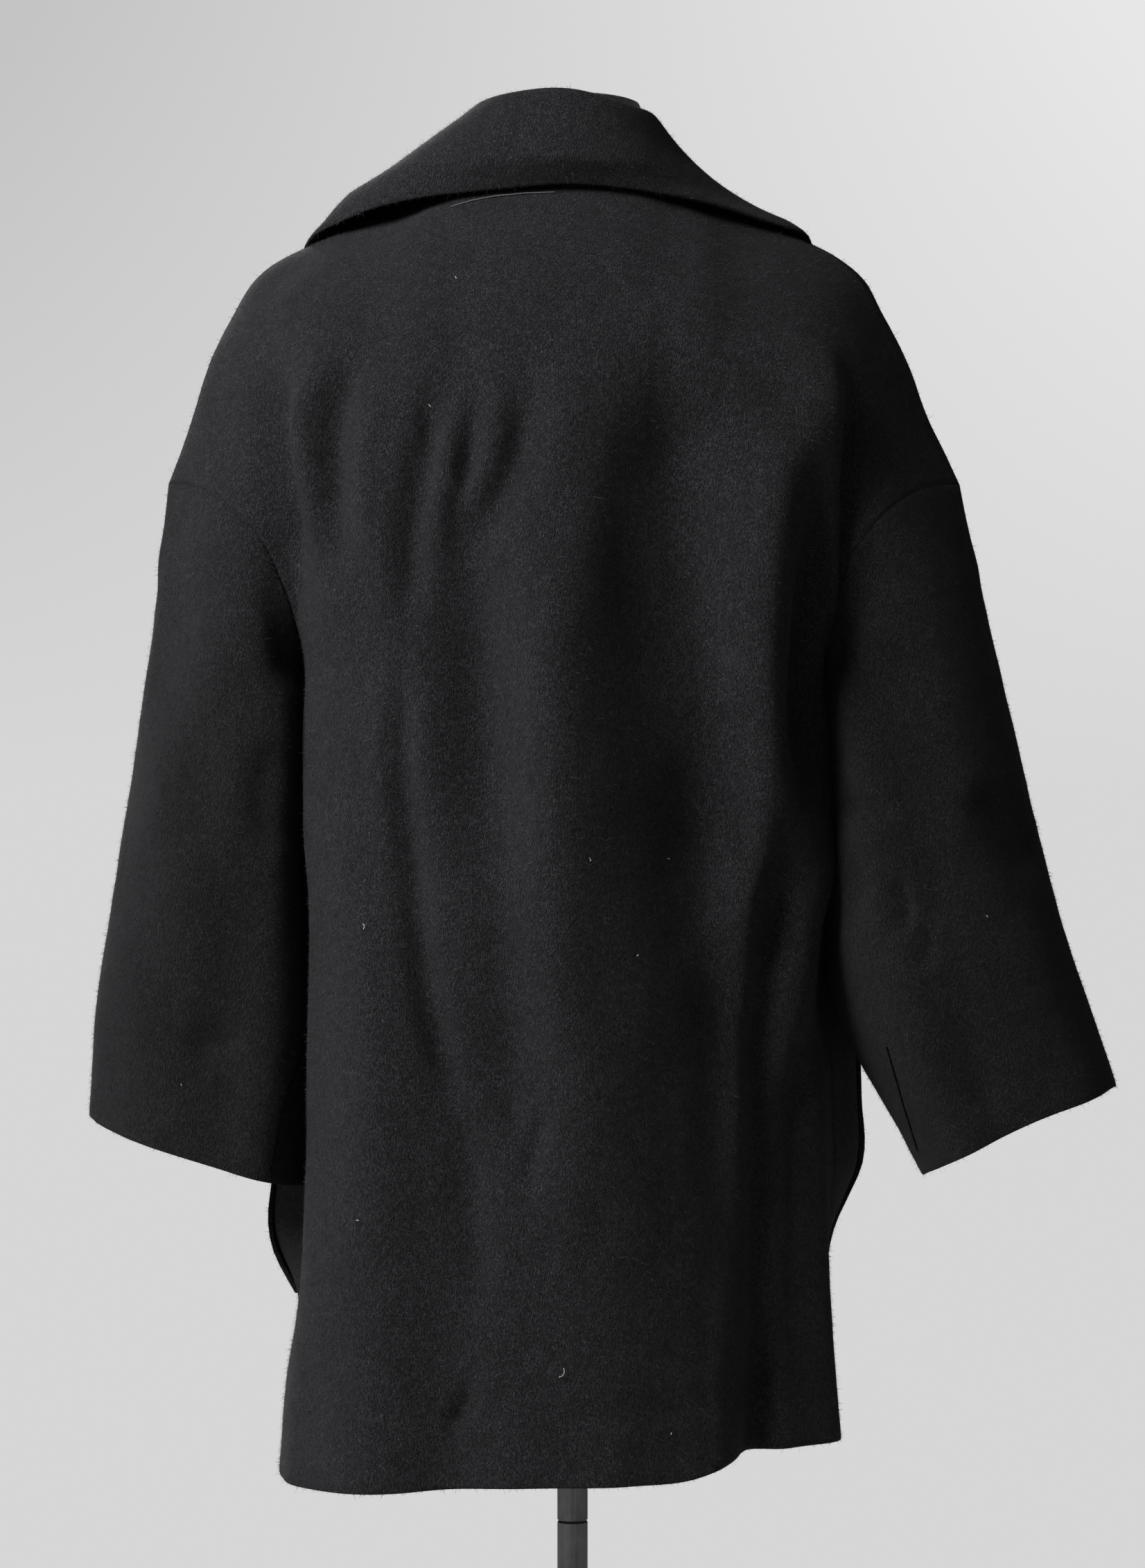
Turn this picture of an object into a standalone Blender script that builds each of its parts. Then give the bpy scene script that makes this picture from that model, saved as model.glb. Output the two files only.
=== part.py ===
"""A short wool coat with a wide shawl collar, hung on a dress form that stands on a pole and a round base.

Metres, +Z up. The origin is on the floor under the pole. The coat faces -Y and the wearer's left is +X.
"""

from collections import namedtuple
import math

import bmesh
import bpy
from mathutils import Vector
from mathutils.bvhtree import BVHTree
import numpy as np

OBJECT_NAME = "short_coat_on_form"

# Cloth
WALL = 0.003
COLLAR_WALL = 0.004
SEAM_GAP = 0.0003
SEAT_GAP = 0.0009
CREST_ROUND = 0.42

# Where the coat hangs
CENTRE_X = 0.008
HEM_Z = 0.545
UNDERARM_Z = 1.060
UNDERARM_X = 0.170
SEAM_Y = 0.015
TIP_Z = 1.203
TIP_X = 0.266
RIGHT_TIP_EXTRA = 0.0045
RIGHT_SLOPE = 0.0035
ARMHOLE_DEPTH = 0.074
NECK_POINT = (0.078, 0.0, 1.412)
BACK_NECK = (0.0, 0.072, 1.400)

# Front wrap
OVERLAP = 0.040
UNDERLAP = WALL + 0.0025
BREAK_Z = 0.960

# Panel grids
ROWS_LOW = 14
ROWS_HIGH = 11
NECK_COLUMNS = 6
RIDGE_COLUMNS = 14
SLEEVE_ROWS = 13
POCKET_ROWS = (3, 8)
POCKET_COLUMNS = (4, 12)

# Stand
POLE_RADIUS = 0.0103
POLE_JOINT_Z = 0.5005
FORM_FLOOR_Z = 0.742
NECK_TOP_Z = 1.4530
NECK_RADIUS = 0.054
CAP_THICKNESS = 0.0080
BASE_RADIUS = 0.190
BASE_THICKNESS = 0.012

BodySection = namedtuple("BodySection", "height half_width back front squareness")
BODY_SECTIONS = (
    BodySection(0.545, 0.188, 0.150, 0.152, 2.70),
    BodySection(0.650, 0.182, 0.151, 0.154, 2.80),
    BodySection(0.780, 0.177, 0.153, 0.156, 2.90),
    BodySection(0.920, 0.175, 0.154, 0.156, 2.85),
    BodySection(1.060, 0.170, 0.152, 0.153, 2.50),
)

CentreLine = namedtuple("CentreLine", "height back front")
CENTRE_LINES = (
    CentreLine(1.060, 0.152, 0.153),
    CentreLine(1.150, 0.151, 0.151),
    CentreLine(1.240, 0.145, 0.140),
    CentreLine(1.320, 0.126, 0.112),
    CentreLine(1.370, 0.106, 0.072),
    CentreLine(1.412, 0.062, 0.004),
)

HemLine = namedtuple("HemLine", "centre side start end")
HEM_LINES = {
    ("back", 1): HemLine(0.549, 0.540, 0.00, 0.80),
    ("back", -1): HemLine(0.549, 0.562, 0.26, 0.55),
    ("front", 1): HemLine(0.549, 0.540, 0.20, 0.90),
    ("front", -1): HemLine(0.553, 0.562, 0.20, 0.90),
}

RidgePoint = namedtuple("RidgePoint", "across height")
SHOULDER_RIDGE = (
    RidgePoint(0.078, 1.412),
    RidgePoint(0.122, 1.390),
    RidgePoint(0.164, 1.368),
    RidgePoint(0.183, 1.359),
    RidgePoint(0.200, 1.349),
    RidgePoint(0.212, 1.337),
    RidgePoint(0.223, 1.318),
    RidgePoint(0.238, 1.287),
    RidgePoint(0.255, 1.231),
    RidgePoint(0.266, 1.203),
)

# Girth runs round the body from the centre back; the side seam is near 0.25 and the centre front near 0.50.
Fold = namedtuple("Fold", "girth_top height_top girth_bottom height_bottom width depth")
BODY_FOLDS = (
    Fold(0.205, 1.310, 0.200, 1.100, 0.020, -0.016),
    Fold(0.132, 1.280, 0.160, 1.130, 0.018, -0.009),
    Fold(0.080, 1.260, 0.056, 1.130, 0.018, -0.009),
    Fold(0.020, 1.255, 0.048, 1.130, 0.020, -0.009),
    Fold(0.058, 1.160, 0.044, 0.930, 0.030, -0.013),
    Fold(0.108, 1.020, 0.066, 0.740, 0.020, -0.011),
    Fold(0.068, 0.790, 0.072, 0.520, 0.026, -0.009),
    Fold(0.000, 1.220, 0.026, 0.800, 0.034, 0.012),
    Fold(0.130, 0.960, 0.120, 0.520, 0.036, 0.010),
    Fold(-0.044, 1.280, -0.086, 0.840, 0.032, -0.015),
    Fold(-0.086, 0.920, -0.066, 0.520, 0.030, -0.012),
    Fold(-0.130, 1.230, -0.116, 0.820, 0.028, 0.013),
    Fold(-0.180, 1.290, -0.190, 0.960, 0.020, -0.018),
    Fold(-0.112, 0.900, -0.108, 0.500, 0.022, 0.016),
    Fold(-0.160, 1.000, -0.152, 0.500, 0.026, -0.015),
    Fold(0.262, 1.110, 0.262, 0.600, 0.038, -0.026),
    Fold(-0.262, 1.100, -0.262, 0.800, 0.034, -0.010),
    Fold(0.318, 0.860, 0.318, 0.640, 0.044, 0.027),
    Fold(-0.315, 0.920, -0.310, 0.680, 0.037, 0.028),
    Fold(0.400, 1.080, 0.385, 0.560, 0.030, -0.012),
    Fold(-0.395, 1.000, -0.400, 0.600, 0.028, -0.011),
    Fold(0.325, 1.180, 0.310, 0.960, 0.026, -0.010),
    Fold(-0.330, 1.170, -0.310, 0.980, 0.026, -0.011),
    Fold(-0.440, 0.900, -0.450, 0.500, 0.024, 0.009),
)

SleeveSection = namedtuple("SleeveSection", "fraction outer_x outer_z inner_x inner_z back front")
SLEEVE_SECTIONS = {
    1: (
        SleeveSection(0.00, 0.266, 1.203, 0.170, 1.060, 0.074, 0.066),
        SleeveSection(0.25, 0.278, 1.090, 0.171, 0.978, 0.086, 0.066),
        SleeveSection(0.65, 0.303, 0.918, 0.165, 0.845, 0.080, 0.046),
        SleeveSection(0.85, 0.314, 0.842, 0.166, 0.781, 0.074, 0.034),
        SleeveSection(1.00, 0.319, 0.777, 0.168, 0.732, 0.070, 0.026),
    ),
    -1: (
        SleeveSection(0.00, 0.266, 1.203, 0.170, 1.060, 0.074, 0.066),
        SleeveSection(0.25, 0.293, 1.090, 0.174, 0.978, 0.084, 0.070),
        SleeveSection(0.65, 0.336, 0.922, 0.185, 0.850, 0.076, 0.054),
        SleeveSection(1.00, 0.3745, 0.796, 0.243, 0.737, 0.066, 0.048),
    ),
}

# Round the sleeve the turn is 0 at the outer edge, 90 at the back and 180 at the underarm.
SleeveFold = namedtuple("SleeveFold", "turn_start along_start turn_end along_end width depth")
SLEEVE_FOLDS = {
    1: (
        SleeveFold(100, 0.05, 70, 0.50, 22, -0.007),
        SleeveFold(120, 0.45, 95, 0.95, 24, -0.006),
        SleeveFold(60, 0.35, 45, 0.90, 22, 0.006),
        SleeveFold(260, 0.05, 290, 0.80, 26, -0.007),
    ),
    -1: (
        SleeveFold(105, 0.05, 80, 0.45, 22, -0.008),
        SleeveFold(140, 0.40, 90, 0.62, 22, -0.008),
        SleeveFold(70, 0.55, 60, 0.98, 24, 0.007),
        SleeveFold(255, 0.05, 285, 0.85, 26, -0.007),
    ),
}

CUFF_LIFT = {1: -0.002, -1: 0.009}

# Along is 0 at the centre back, 1 at the neck point and 2 at the break; offsets are from the neck seam.
CollarStation = namedtuple("CollarStation", "along crest_x crest_y crest_z edge_x edge_y edge_z roll bulge")
COLLAR_STATIONS = (
    CollarStation(0.00, 0.000, 0.003, 0.048, 0.000, 0.026, -0.008, 0.0050, 0.004),
    CollarStation(0.25, -0.007, 0.002, 0.046, 0.013, 0.022, -0.011, 0.0050, 0.003),
    CollarStation(0.50, -0.013, 0.001, 0.041, 0.034, 0.014, -0.018, 0.0050, 0.002),
    CollarStation(0.75, -0.017, 0.002, 0.033, 0.058, 0.006, -0.030, 0.0050, 0.001),
    CollarStation(1.00, -0.019, 0.002, 0.024, 0.086, 0.004, -0.039, 0.0050, 0.000),
    CollarStation(1.20, -0.010, -0.006, 0.012, 0.104, -0.010, -0.040, 0.0050, 0.002),
    CollarStation(1.50, -0.006, -0.004, 0.004, 0.098, -0.004, -0.036, 0.0045, 0.002),
    CollarStation(1.80, -0.005, -0.004, 0.003, 0.066, -0.004, -0.030, 0.0040, 0.001),
    CollarStation(2.00, -0.004, -0.004, 0.002, 0.016, -0.010, -0.012, 0.0035, 0.000),
)
# On the left the fall stands off the shoulder, on the right it sinks closer to the neck.
LEFT_FLARE = 0.020
LEFT_FULLNESS = 0.006
RIGHT_SINK = 0.009
RIGHT_DROP = 0.007
SIDE_PLACE, SIDE_SPREAD = 0.75, 0.35
COLLAR_CLEARANCE = 0.0028
UNDER_COLLAR_END = 6

FormSection = namedtuple("FormSection", "height half_width half_depth squareness")
FORM_TRUNK = (
    FormSection(0.742, 0.132, 0.098, 2.2),
    FormSection(0.752, 0.140, 0.104, 2.2),
    FormSection(0.800, 0.146, 0.109, 2.2),
    FormSection(0.860, 0.145, 0.108, 2.2),
    FormSection(0.940, 0.132, 0.097, 2.2),
    FormSection(1.020, 0.120, 0.088, 2.2),
    FormSection(1.100, 0.126, 0.092, 2.2),
    FormSection(1.180, 0.144, 0.101, 2.2),
    FormSection(1.250, 0.164, 0.098, 2.1),
    FormSection(1.300, 0.180, 0.080, 2.0),
    FormSection(1.326, 0.184, 0.066, 1.8),
    FormSection(1.342, 0.179, 0.057, 1.6),
)
FORM_SEAT_ACROSS = (0.160, 0.135, 0.115, 0.100)
FORM_SEAT = (0.043, 1.3)
FORM_NECK = (
    FormSection(1.4020, 0.074, 0.044, 1.5),
    FormSection(1.4100, 0.060, 0.047, 1.9),
    FormSection(1.4260, 0.0555, 0.0515, 2.0),
    FormSection(1.4530, 0.0540, 0.0540, 2.0),
)
FORM_SIDES = 32

Panel = namedtuple("Panel", "name grid closed girth")


def spline(value, knots, samples):
    """A smooth curve through the samples, read at value."""
    knots, samples = np.asarray(knots, float), np.asarray(samples, float)
    slopes = np.gradient(samples, knots)
    value = np.clip(value, knots[0], knots[-1])
    left = np.clip(np.searchsorted(knots, value, side="right") - 1, 0, len(knots) - 2)
    step = knots[left + 1] - knots[left]
    t = (value - knots[left]) / step
    return (
        (1 + 2 * t) * (1 - t) ** 2 * samples[left]
        + t * (1 - t) ** 2 * step * slopes[left]
        + t * t * (3 - 2 * t) * samples[left + 1]
        + t * t * (t - 1) * step * slopes[left + 1]
    )


def read(table, column, key, value):
    """One named column of a table, read smoothly at a value of its key column."""
    return spline(value, [getattr(row, key) for row in table], [getattr(row, column) for row in table])


def fade(value, start, end):
    """0 before start, 1 after end, smooth between."""
    t = np.clip((value - start) / (end - start), 0.0, 1.0)
    return t * t * (3 - 2 * t)


def even_points(points, count):
    """count + 1 points spaced evenly along a polyline."""
    steps = np.linalg.norm(np.diff(points, axis=0), axis=1)
    along = np.concatenate([[0.0], np.cumsum(steps)])
    wanted = np.linspace(0.0, along[-1], count + 1)
    return np.column_stack([np.interp(wanted, along, points[:, k]) for k in range(3)])


def unit(vectors):
    return vectors / np.maximum(np.linalg.norm(vectors, axis=-1, keepdims=True), 1e-12)


def tip_x(side):
    return TIP_X + (RIGHT_TIP_EXTRA if side < 0 else 0.0)


def ridge_points(side):
    """Points along the shoulder seam, from the neck point to the armhole tip."""
    across = np.linspace(SHOULDER_RIDGE[0].across, SHOULDER_RIDGE[-1].across, 200)
    height = read(SHOULDER_RIDGE, "height", "across", across)
    wider = (tip_x(side) - TIP_X) * fade(across, 0.240, TIP_X)
    if side < 0:
        wider -= RIGHT_SLOPE * fade(across, 0.190, 0.226) * (1 - fade(across, 0.232, TIP_X))
    return even_points(np.column_stack([across + wider, 0 * across, height]), RIDGE_COLUMNS)


def armhole_points(facing, side):
    """The armhole edge of one half, from the underarm up to the tip."""
    turn = np.linspace(math.pi / 2, 0.0, ROWS_HIGH + 1)
    x = tip_x(side) - (tip_x(side) - UNDERARM_X) * np.sin(turn)
    y = SEAM_Y * np.sin(turn) ** 4 + facing * ARMHOLE_DEPTH * np.sin(2 * turn)
    z = UNDERARM_Z + (TIP_Z - UNDERARM_Z) * np.cos(turn)
    return np.column_stack([x, y, z])


def front_edge_x(height):
    """How far across the front edge is, past the centre front below the break and up the roll line above it."""
    up = np.clip((height - BREAK_Z) / (NECK_POINT[2] - BREAK_Z), 0.0, 1.0)
    return -OVERLAP + (NECK_POINT[0] + OVERLAP) * up**1.12


def half_section(height, facing):
    """The body's outline at one height, from past the centre line to the side seam."""
    turn = np.radians(np.linspace(-25.0, 90.0, 231))
    half, power = (read(BODY_SECTIONS, name, "height", height) for name in ("half_width", "squareness"))
    reach = read(BODY_SECTIONS, "back" if facing > 0 else "front", "height", height)
    x = half * np.sign(np.sin(turn)) * np.abs(np.sin(turn)) ** (2 / power)
    y = SEAM_Y + facing * (reach - facing * SEAM_Y) * np.abs(np.cos(turn)) ** (2 / power)
    return np.column_stack([x, y, np.full_like(x, height)])


def low_rows(facing, side, columns):
    """The panel below the underarm: a row for each level, from the centre edge to the side seam."""
    name = "back" if facing > 0 else "front"
    hem = HEM_LINES[(name, side)]
    rows = []
    for level in np.linspace(0.0, 1.0, ROWS_LOW + 1):
        height = HEM_Z + (UNDERARM_Z - HEM_Z) * level
        outline = half_section(height, facing)
        edge = 0.0 if facing > 0 else float(front_edge_x(height))
        kept = outline[outline[:, 0] > edge]
        y_edge = np.interp(edge, outline[:, 0], outline[:, 1])
        row = even_points(np.vstack([[edge, y_edge, height], kept]), columns)
        across = np.linspace(0.0, 1.0, columns + 1)
        lift = hem.centre + (hem.side - hem.centre) * fade(across, hem.start, hem.end) - HEM_Z
        row[:, 2] += lift * (1 - level)
        rows.append(row)
    return np.array(rows)


def coons(bottom, top, inner, outer, climb):
    """A patch between four edges whose top rolls over as a rounded crest."""
    s = np.linspace(0.0, 1.0, len(bottom))[None, :, None]
    w = climb[:, None, None]
    weight = np.concatenate([w, 1 - (1 - w) ** CREST_ROUND, w], axis=2)
    ruled = (1 - weight) * bottom[None] + weight * top[None]
    sides = (1 - s) * inner[:, None] + s * outer[:, None]
    corners = (1 - weight) * ((1 - s) * bottom[0] + s * bottom[-1]) + weight * ((1 - s) * top[0] + s * top[-1])
    return ruled + sides - corners


def soften(grid, passes):
    """Evens out a grid's inside, with its edges held."""
    for _ in range(passes):
        near = grid[:-2, 1:-1] + grid[2:, 1:-1] + grid[1:-1, :-2] + grid[1:-1, 2:]
        grid[1:-1, 1:-1] = 0.5 * grid[1:-1, 1:-1] + 0.125 * near
    return grid


def half_panel(facing, side):
    """One half of the body, from the centre edge to the side seam and armhole, hem to shoulder."""
    columns = RIDGE_COLUMNS + (NECK_COLUMNS if facing > 0 else 0)
    low = low_rows(facing, side, columns)
    ridge = ridge_points(side)
    climb = 1 - np.linspace(1.0, 0.0, ROWS_HIGH + 1) ** 1.5
    if facing > 0:
        turn = np.radians(np.linspace(0.0, 90.0, NECK_COLUMNS + 1))
        neck = np.column_stack([
            NECK_POINT[0] * np.sin(turn) ** 0.85,
            BACK_NECK[1] * np.cos(turn),
            BACK_NECK[2] + (NECK_POINT[2] - BACK_NECK[2]) * np.sin(turn) ** 2,
        ])
        top = np.vstack([neck[:-1], ridge])
        height = UNDERARM_Z + (BACK_NECK[2] - UNDERARM_Z) * climb
        depth = read(CENTRE_LINES, "back", "height", height)
        depth += fade(climb, 0.6, 1.0) * (BACK_NECK[1] - depth[-1])
        inner = np.column_stack([0 * height, depth, height])
    else:
        top = ridge
        height = UNDERARM_Z + (NECK_POINT[2] - UNDERARM_Z) * climb
        depth = -read(CENTRE_LINES, "front", "height", height)
        depth += (1 - climb) ** 2 * (low[-1, 0, 1] - depth[0]) + climb**6 * (NECK_POINT[1] - depth[-1])
        inner = np.column_stack([front_edge_x(height), depth, height])
    low[-1, -1] = (UNDERARM_X, SEAM_Y, UNDERARM_Z)
    high = coons(low[-1], top, inner, armhole_points(facing, side), climb)
    return soften(np.concatenate([low, high[1:]]), 4)


def girth_of(grid, start):
    """How far round the body each point is, measured along its row."""
    steps = np.linalg.norm(np.diff(grid[..., :2], axis=1), axis=2)
    return start + np.concatenate([np.zeros((len(grid), 1)), np.cumsum(steps, axis=1)], axis=1)


def body_panels():
    """The back and the two fronts as grids, before their folds."""
    halves = {side: half_panel(1, side) for side in (1, -1)}
    girths = {side: girth_of(halves[side], 0.0) for side in (1, -1)}
    for side in (1, -1):
        halves[side] = halves[side] * (side, 1, 1)
    back = np.concatenate([halves[-1][:, :0:-1], halves[1]], axis=1)
    girth = np.concatenate([-girths[-1][:, :0:-1], girths[1]], axis=1)
    panels = [Panel("back", back, False, girth)]
    for name, side in (("front_left", 1), ("front_right", -1)):
        grid = half_panel(-1, side)
        round_to = girths[side][:, -1:] + girth_of(grid[:, ::-1], 0.0)[:, ::-1]
        if side > 0:
            tuck = 1 - fade(grid[..., 0], OVERLAP + 0.010, OVERLAP + 0.075)
            grid[..., 1] += UNDERLAP * tuck * (1 - fade(grid[..., 2], 1.10, 1.30))
        grid = grid * (side, 1, 1)
        if side > 0:
            grid, round_to = grid[:, ::-1], round_to[:, ::-1]
        panels.append(Panel(name, grid, False, side * round_to))
    return panels


def fold_depth(girth, height):
    """How far every fold together moves the cloth out at each point."""
    total = np.zeros_like(girth)
    for fold in BODY_FOLDS:
        down = (fold.height_top - height) / (fold.height_top - fold.height_bottom)
        line = fold.girth_top + (fold.girth_bottom - fold.girth_top) * np.clip(down, 0, 1)
        ends = fade(down, 0.0, 0.25) * (1 - fade(down, 0.75, 1.0) * (fold.height_bottom > HEM_Z))
        total += fold.depth * np.exp(-(((girth - line) / fold.width) ** 2)) * ends
    return total


def sleeve_panel(name, side):
    """One sleeve as a tube of rings from the armhole to the cuff."""
    table = SLEEVE_SECTIONS[side]
    back, front = armhole_points(1, side)[::-1], armhole_points(-1, side)
    armhole = np.vstack([back, front[1:]])
    turn = np.linspace(0.0, 2 * math.pi, 2 * ROWS_HIGH + 1)
    rows = []
    for along in np.linspace(0.0, 1.0, SLEEVE_ROWS + 1):
        part = {c: read(table, c, "fraction", along) for c in table[0]._fields}
        mix = (1 + np.cos(turn)) / 2
        depth = np.where(np.sin(turn) > 0, part["back"], part["front"]) * np.sin(turn)
        ring = np.column_stack([
            part["inner_x"] + (part["outer_x"] - part["inner_x"]) * mix,
            SEAM_Y * (1 - mix) + depth,
            part["inner_z"] + (part["outer_z"] - part["inner_z"]) * mix
            + CUFF_LIFT[side] * fade(along, 0.6, 1.0) * np.maximum(np.sin(turn), 0.0),
        ])
        if along == 0.0:
            start = ring
        ring = ring + (armhole - start) * (1 - along) ** 3
        for fold in SLEEVE_FOLDS[side]:
            run = (along - fold.along_start) / (fold.along_end - fold.along_start)
            line = fold.turn_start + (fold.turn_end - fold.turn_start) * np.clip(run, 0, 1)
            off = (np.degrees(turn) - line + 180) % 360 - 180
            depth = fold.depth * np.exp(-((off / fold.width) ** 2))
            depth = depth * fade(run, 0.0, 0.3) * (1 - fade(run, 0.75, 1.0) * (fold.along_end < 0.97))
            out = unit(ring - ring[:-1].mean(axis=0)) * (1, 1, 0)
            ring = ring + out * depth[:, None]
        rows.append(ring * (side, 1, 1))
    grid = np.array(rows)
    return Panel(name, grid if side > 0 else grid[:, ::-1], True, None)


def normals_of(panel):
    """Unit normals of a grid, out of the cloth's good side."""
    grid = panel.grid
    if panel.closed:
        wrapped = np.concatenate([grid[:, -2:-1], grid, grid[:, 1:2]], axis=1)
        across = (wrapped[:, 2:] - wrapped[:, :-2]) / 2
    else:
        across = np.gradient(grid, axis=1)
    return unit(np.cross(np.gradient(grid, axis=0), across))


def edge_mask(panel):
    rows, columns = panel.grid.shape[:2]
    mask = np.zeros((rows, columns), bool)
    mask[[0, -1], :] = True
    if not panel.closed:
        mask[:, [0, -1]] = True
    return mask


def seam_groups(panels):
    """Edge points of the panels that lie on the same place of a seam."""
    groups = {}
    for index, panel in enumerate(panels):
        for row, column in zip(*np.nonzero(edge_mask(panel))):
            key = tuple(np.round(panel.grid[row, column], 6))
            groups.setdefault(key, []).append((index, row, column))
    return [group for group in groups.values() if len(group) > 1]


def share(arrays, groups, least):
    """Gives the points of each seam the mean of their vectors, where those agree well enough."""
    for group in groups:
        vectors = np.array([arrays[i][r, c] for i, r, c in group])
        mean = vectors.mean(axis=0)
        for (i, r, c), vector in zip(group, vectors):
            if least is None or np.dot(unit(mean), unit(vector)) > least:
                arrays[i][r, c] = mean if least is None else unit(mean)


def gap_step(edge, near, normals, closed):
    """Half the seam gap from an edge towards its panel, square to the seam and to the cloth."""
    along = np.gradient(edge, axis=0)
    if closed:
        along[[0, -1]] = edge[1] - edge[-2]
    square = unit(np.cross(normals, along))
    return square * np.sign(((near - edge) * square).sum(axis=1))[:, None] * SEAM_GAP / 2


def pull_in(panel, normals):
    """Draws the panel's edges back by half the seam gap."""
    grid = panel.grid
    moved = grid.copy()
    for row, near in ((0, 1), (-1, -2)):
        moved[row] += gap_step(grid[row], grid[near], normals[row], panel.closed)
    if not panel.closed:
        for column, near in ((0, 1), (-1, -2)):
            moved[:, column] += gap_step(grid[:, column], grid[:, near], normals[:, column], False)
    return moved


def cloth_object(name, outer, inner, closed, material):
    """A walled cloth piece: a grid laid on the inner side and drawn out to the outer side."""
    rows, columns = outer.shape[:2]
    bm = bmesh.new()
    bmesh.ops.create_grid(bm, x_segments=columns - 1, y_segments=rows - 1, size=0.5)
    place = bm.verts.layers.int.new("place")
    for vert in bm.verts:
        row, column = round((vert.co.y + 0.5) * (rows - 1)), round((vert.co.x + 0.5) * (columns - 1))
        vert[place] = row * columns + column
        vert.co = inner[row, column]
    if closed:
        bmesh.ops.remove_doubles(bm, verts=bm.verts, dist=1e-6)
    drawn = bmesh.ops.extrude_face_region(bm, geom=bm.faces[:], use_keep_orig=True)
    targets = outer.reshape(-1, 3)
    outside = {item for item in drawn["geom"] if isinstance(item, bmesh.types.BMVert)}
    for vert in outside:
        vert.co = targets[vert[place]]
    split_rim(bm, outside)
    bmesh.ops.recalc_face_normals(bm, faces=bm.faces[:])
    return finish(name, bm, material)


def split_rim(bm, outside):
    """Cuts each rim face along the diagonal that the neighbouring piece's rim is cut along too."""
    slant = Vector((0.37, 0.11, 1.0))
    for face in bm.faces[:]:
        rim = [vert for vert in face.verts if vert in outside]
        if len(rim) == 2:
            high = max(rim, key=lambda vert: vert.co.dot(slant))
            linked = {edge.other_vert(high) for edge in high.link_edges}
            far = [vert for vert in face.verts if vert not in outside and vert not in linked]
            bmesh.utils.face_split(face, high, far[0])


def finish(name, bm, material):
    """Puts a finished mesh in the part's collection."""
    mesh = bpy.data.meshes.new(name)
    for vert in bm.verts:
        vert.co.x += CENTRE_X
    bm.to_mesh(mesh)
    bm.free()
    mesh.materials.append(material)
    piece = bpy.data.objects.new(name, mesh)
    bpy.data.collections[OBJECT_NAME].objects.link(piece)
    return piece


def collar_panel(panels):
    """The shawl collar: a strip that stands up from the neck seam, rolls over and falls back on the coat."""
    back, left, right = panels
    neck = back.grid[-1, RIDGE_COLUMNS : RIDGE_COLUMNS + 2 * NECK_COLUMNS + 1]
    rows = len(left.grid)
    first = int(np.argmax(right.grid[:, 0, 2] > BREAK_Z - 0.01))
    left_edge, right_edge = left.grid[:, -1], right.grid[:, 0]
    left_run = left_edge[first + UNDER_COLLAR_END : rows - 1][::-1]
    right_run = right_edge[first : rows - 1]
    seam = np.vstack([right_run, neck, left_run])
    full = rows - 1 - first
    along = np.concatenate([
        1 + np.arange(full, 0, -1) / full,
        np.abs(np.linspace(-1, 1, 2 * NECK_COLUMNS + 1)),
        1 + np.arange(1, len(left_run) + 1) / len(left_run),
    ])
    side = np.concatenate([-np.ones(len(right_run) + NECK_COLUMNS), [0], np.ones(len(left_run) + NECK_COLUMNS)])
    tree = BVHTree.FromPolygons(*surface_of(panels))
    strips = []
    for base, station, way in zip(seam, along, side):
        part = {c: float(read(COLLAR_STATIONS, c, "along", station)) for c in COLLAR_STATIONS[0]._fields}
        mirror = np.array([way, 1, 1])
        crest = base + mirror * (part["crest_x"], part["crest_y"], part["crest_z"])
        edge = base + mirror * (part["edge_x"], part["edge_y"], part["edge_z"])
        near = math.exp(-(((station - SIDE_PLACE) / SIDE_SPREAD) ** 2))
        if way > 0:
            edge = edge + np.array([-0.3, 1.0, 0.2]) * LEFT_FLARE * near
            part["bulge"] += LEFT_FULLNESS * near
        elif way < 0:
            crest = crest - np.array([0.0, 0.0, RIGHT_DROP]) * math.exp(-(((station - 0.45) / 0.3) ** 2))
            part["bulge"] -= RIGHT_SINK * near
        rise = unit(crest - base)
        fall = edge - crest
        out = unit(fall - np.dot(fall, rise) * rise)
        lift = rise * 0.0016
        path = [base + lift, (base + crest) / 2 + lift / 2, crest]
        for turn in np.radians((45, 90, 135)):
            path.append(crest + part["roll"] * ((1 - math.cos(turn)) * out + math.sin(turn) * rise))
        top = crest + 2 * part["roll"] * out
        for t in np.linspace(0.0, 1.0, 6):
            point = top + (edge - top) * t + out * part["bulge"] * 4 * t * (1 - t)
            path.append(clear_of(tree, point, COLLAR_WALL / 2 + COLLAR_CLEARANCE))
        strips.append(path)
    return Panel("collar", np.array(strips), False, None)


def surface_of(panels):
    """Points and quads of the panels' outer sides."""
    points, quads = [], []
    for panel in panels:
        rows, columns = panel.grid.shape[:2]
        start = len(points)
        points.extend(Vector(p) for p in panel.grid.reshape(-1, 3))
        for row in range(rows - 1):
            for column in range(columns - 1):
                a = start + row * columns + column
                quads.append((a, a + columns, a + columns + 1, a + 1))
    return points, quads


def clear_of(tree, point, least):
    """Moves a point out of the cloth under it until it clears it."""
    place, normal, _, _ = tree.find_nearest(Vector(point))
    height = (Vector(point) - place).dot(normal)
    if height < least:
        return np.array(Vector(point) + normal * (least - height))
    return np.array(point)


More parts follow.
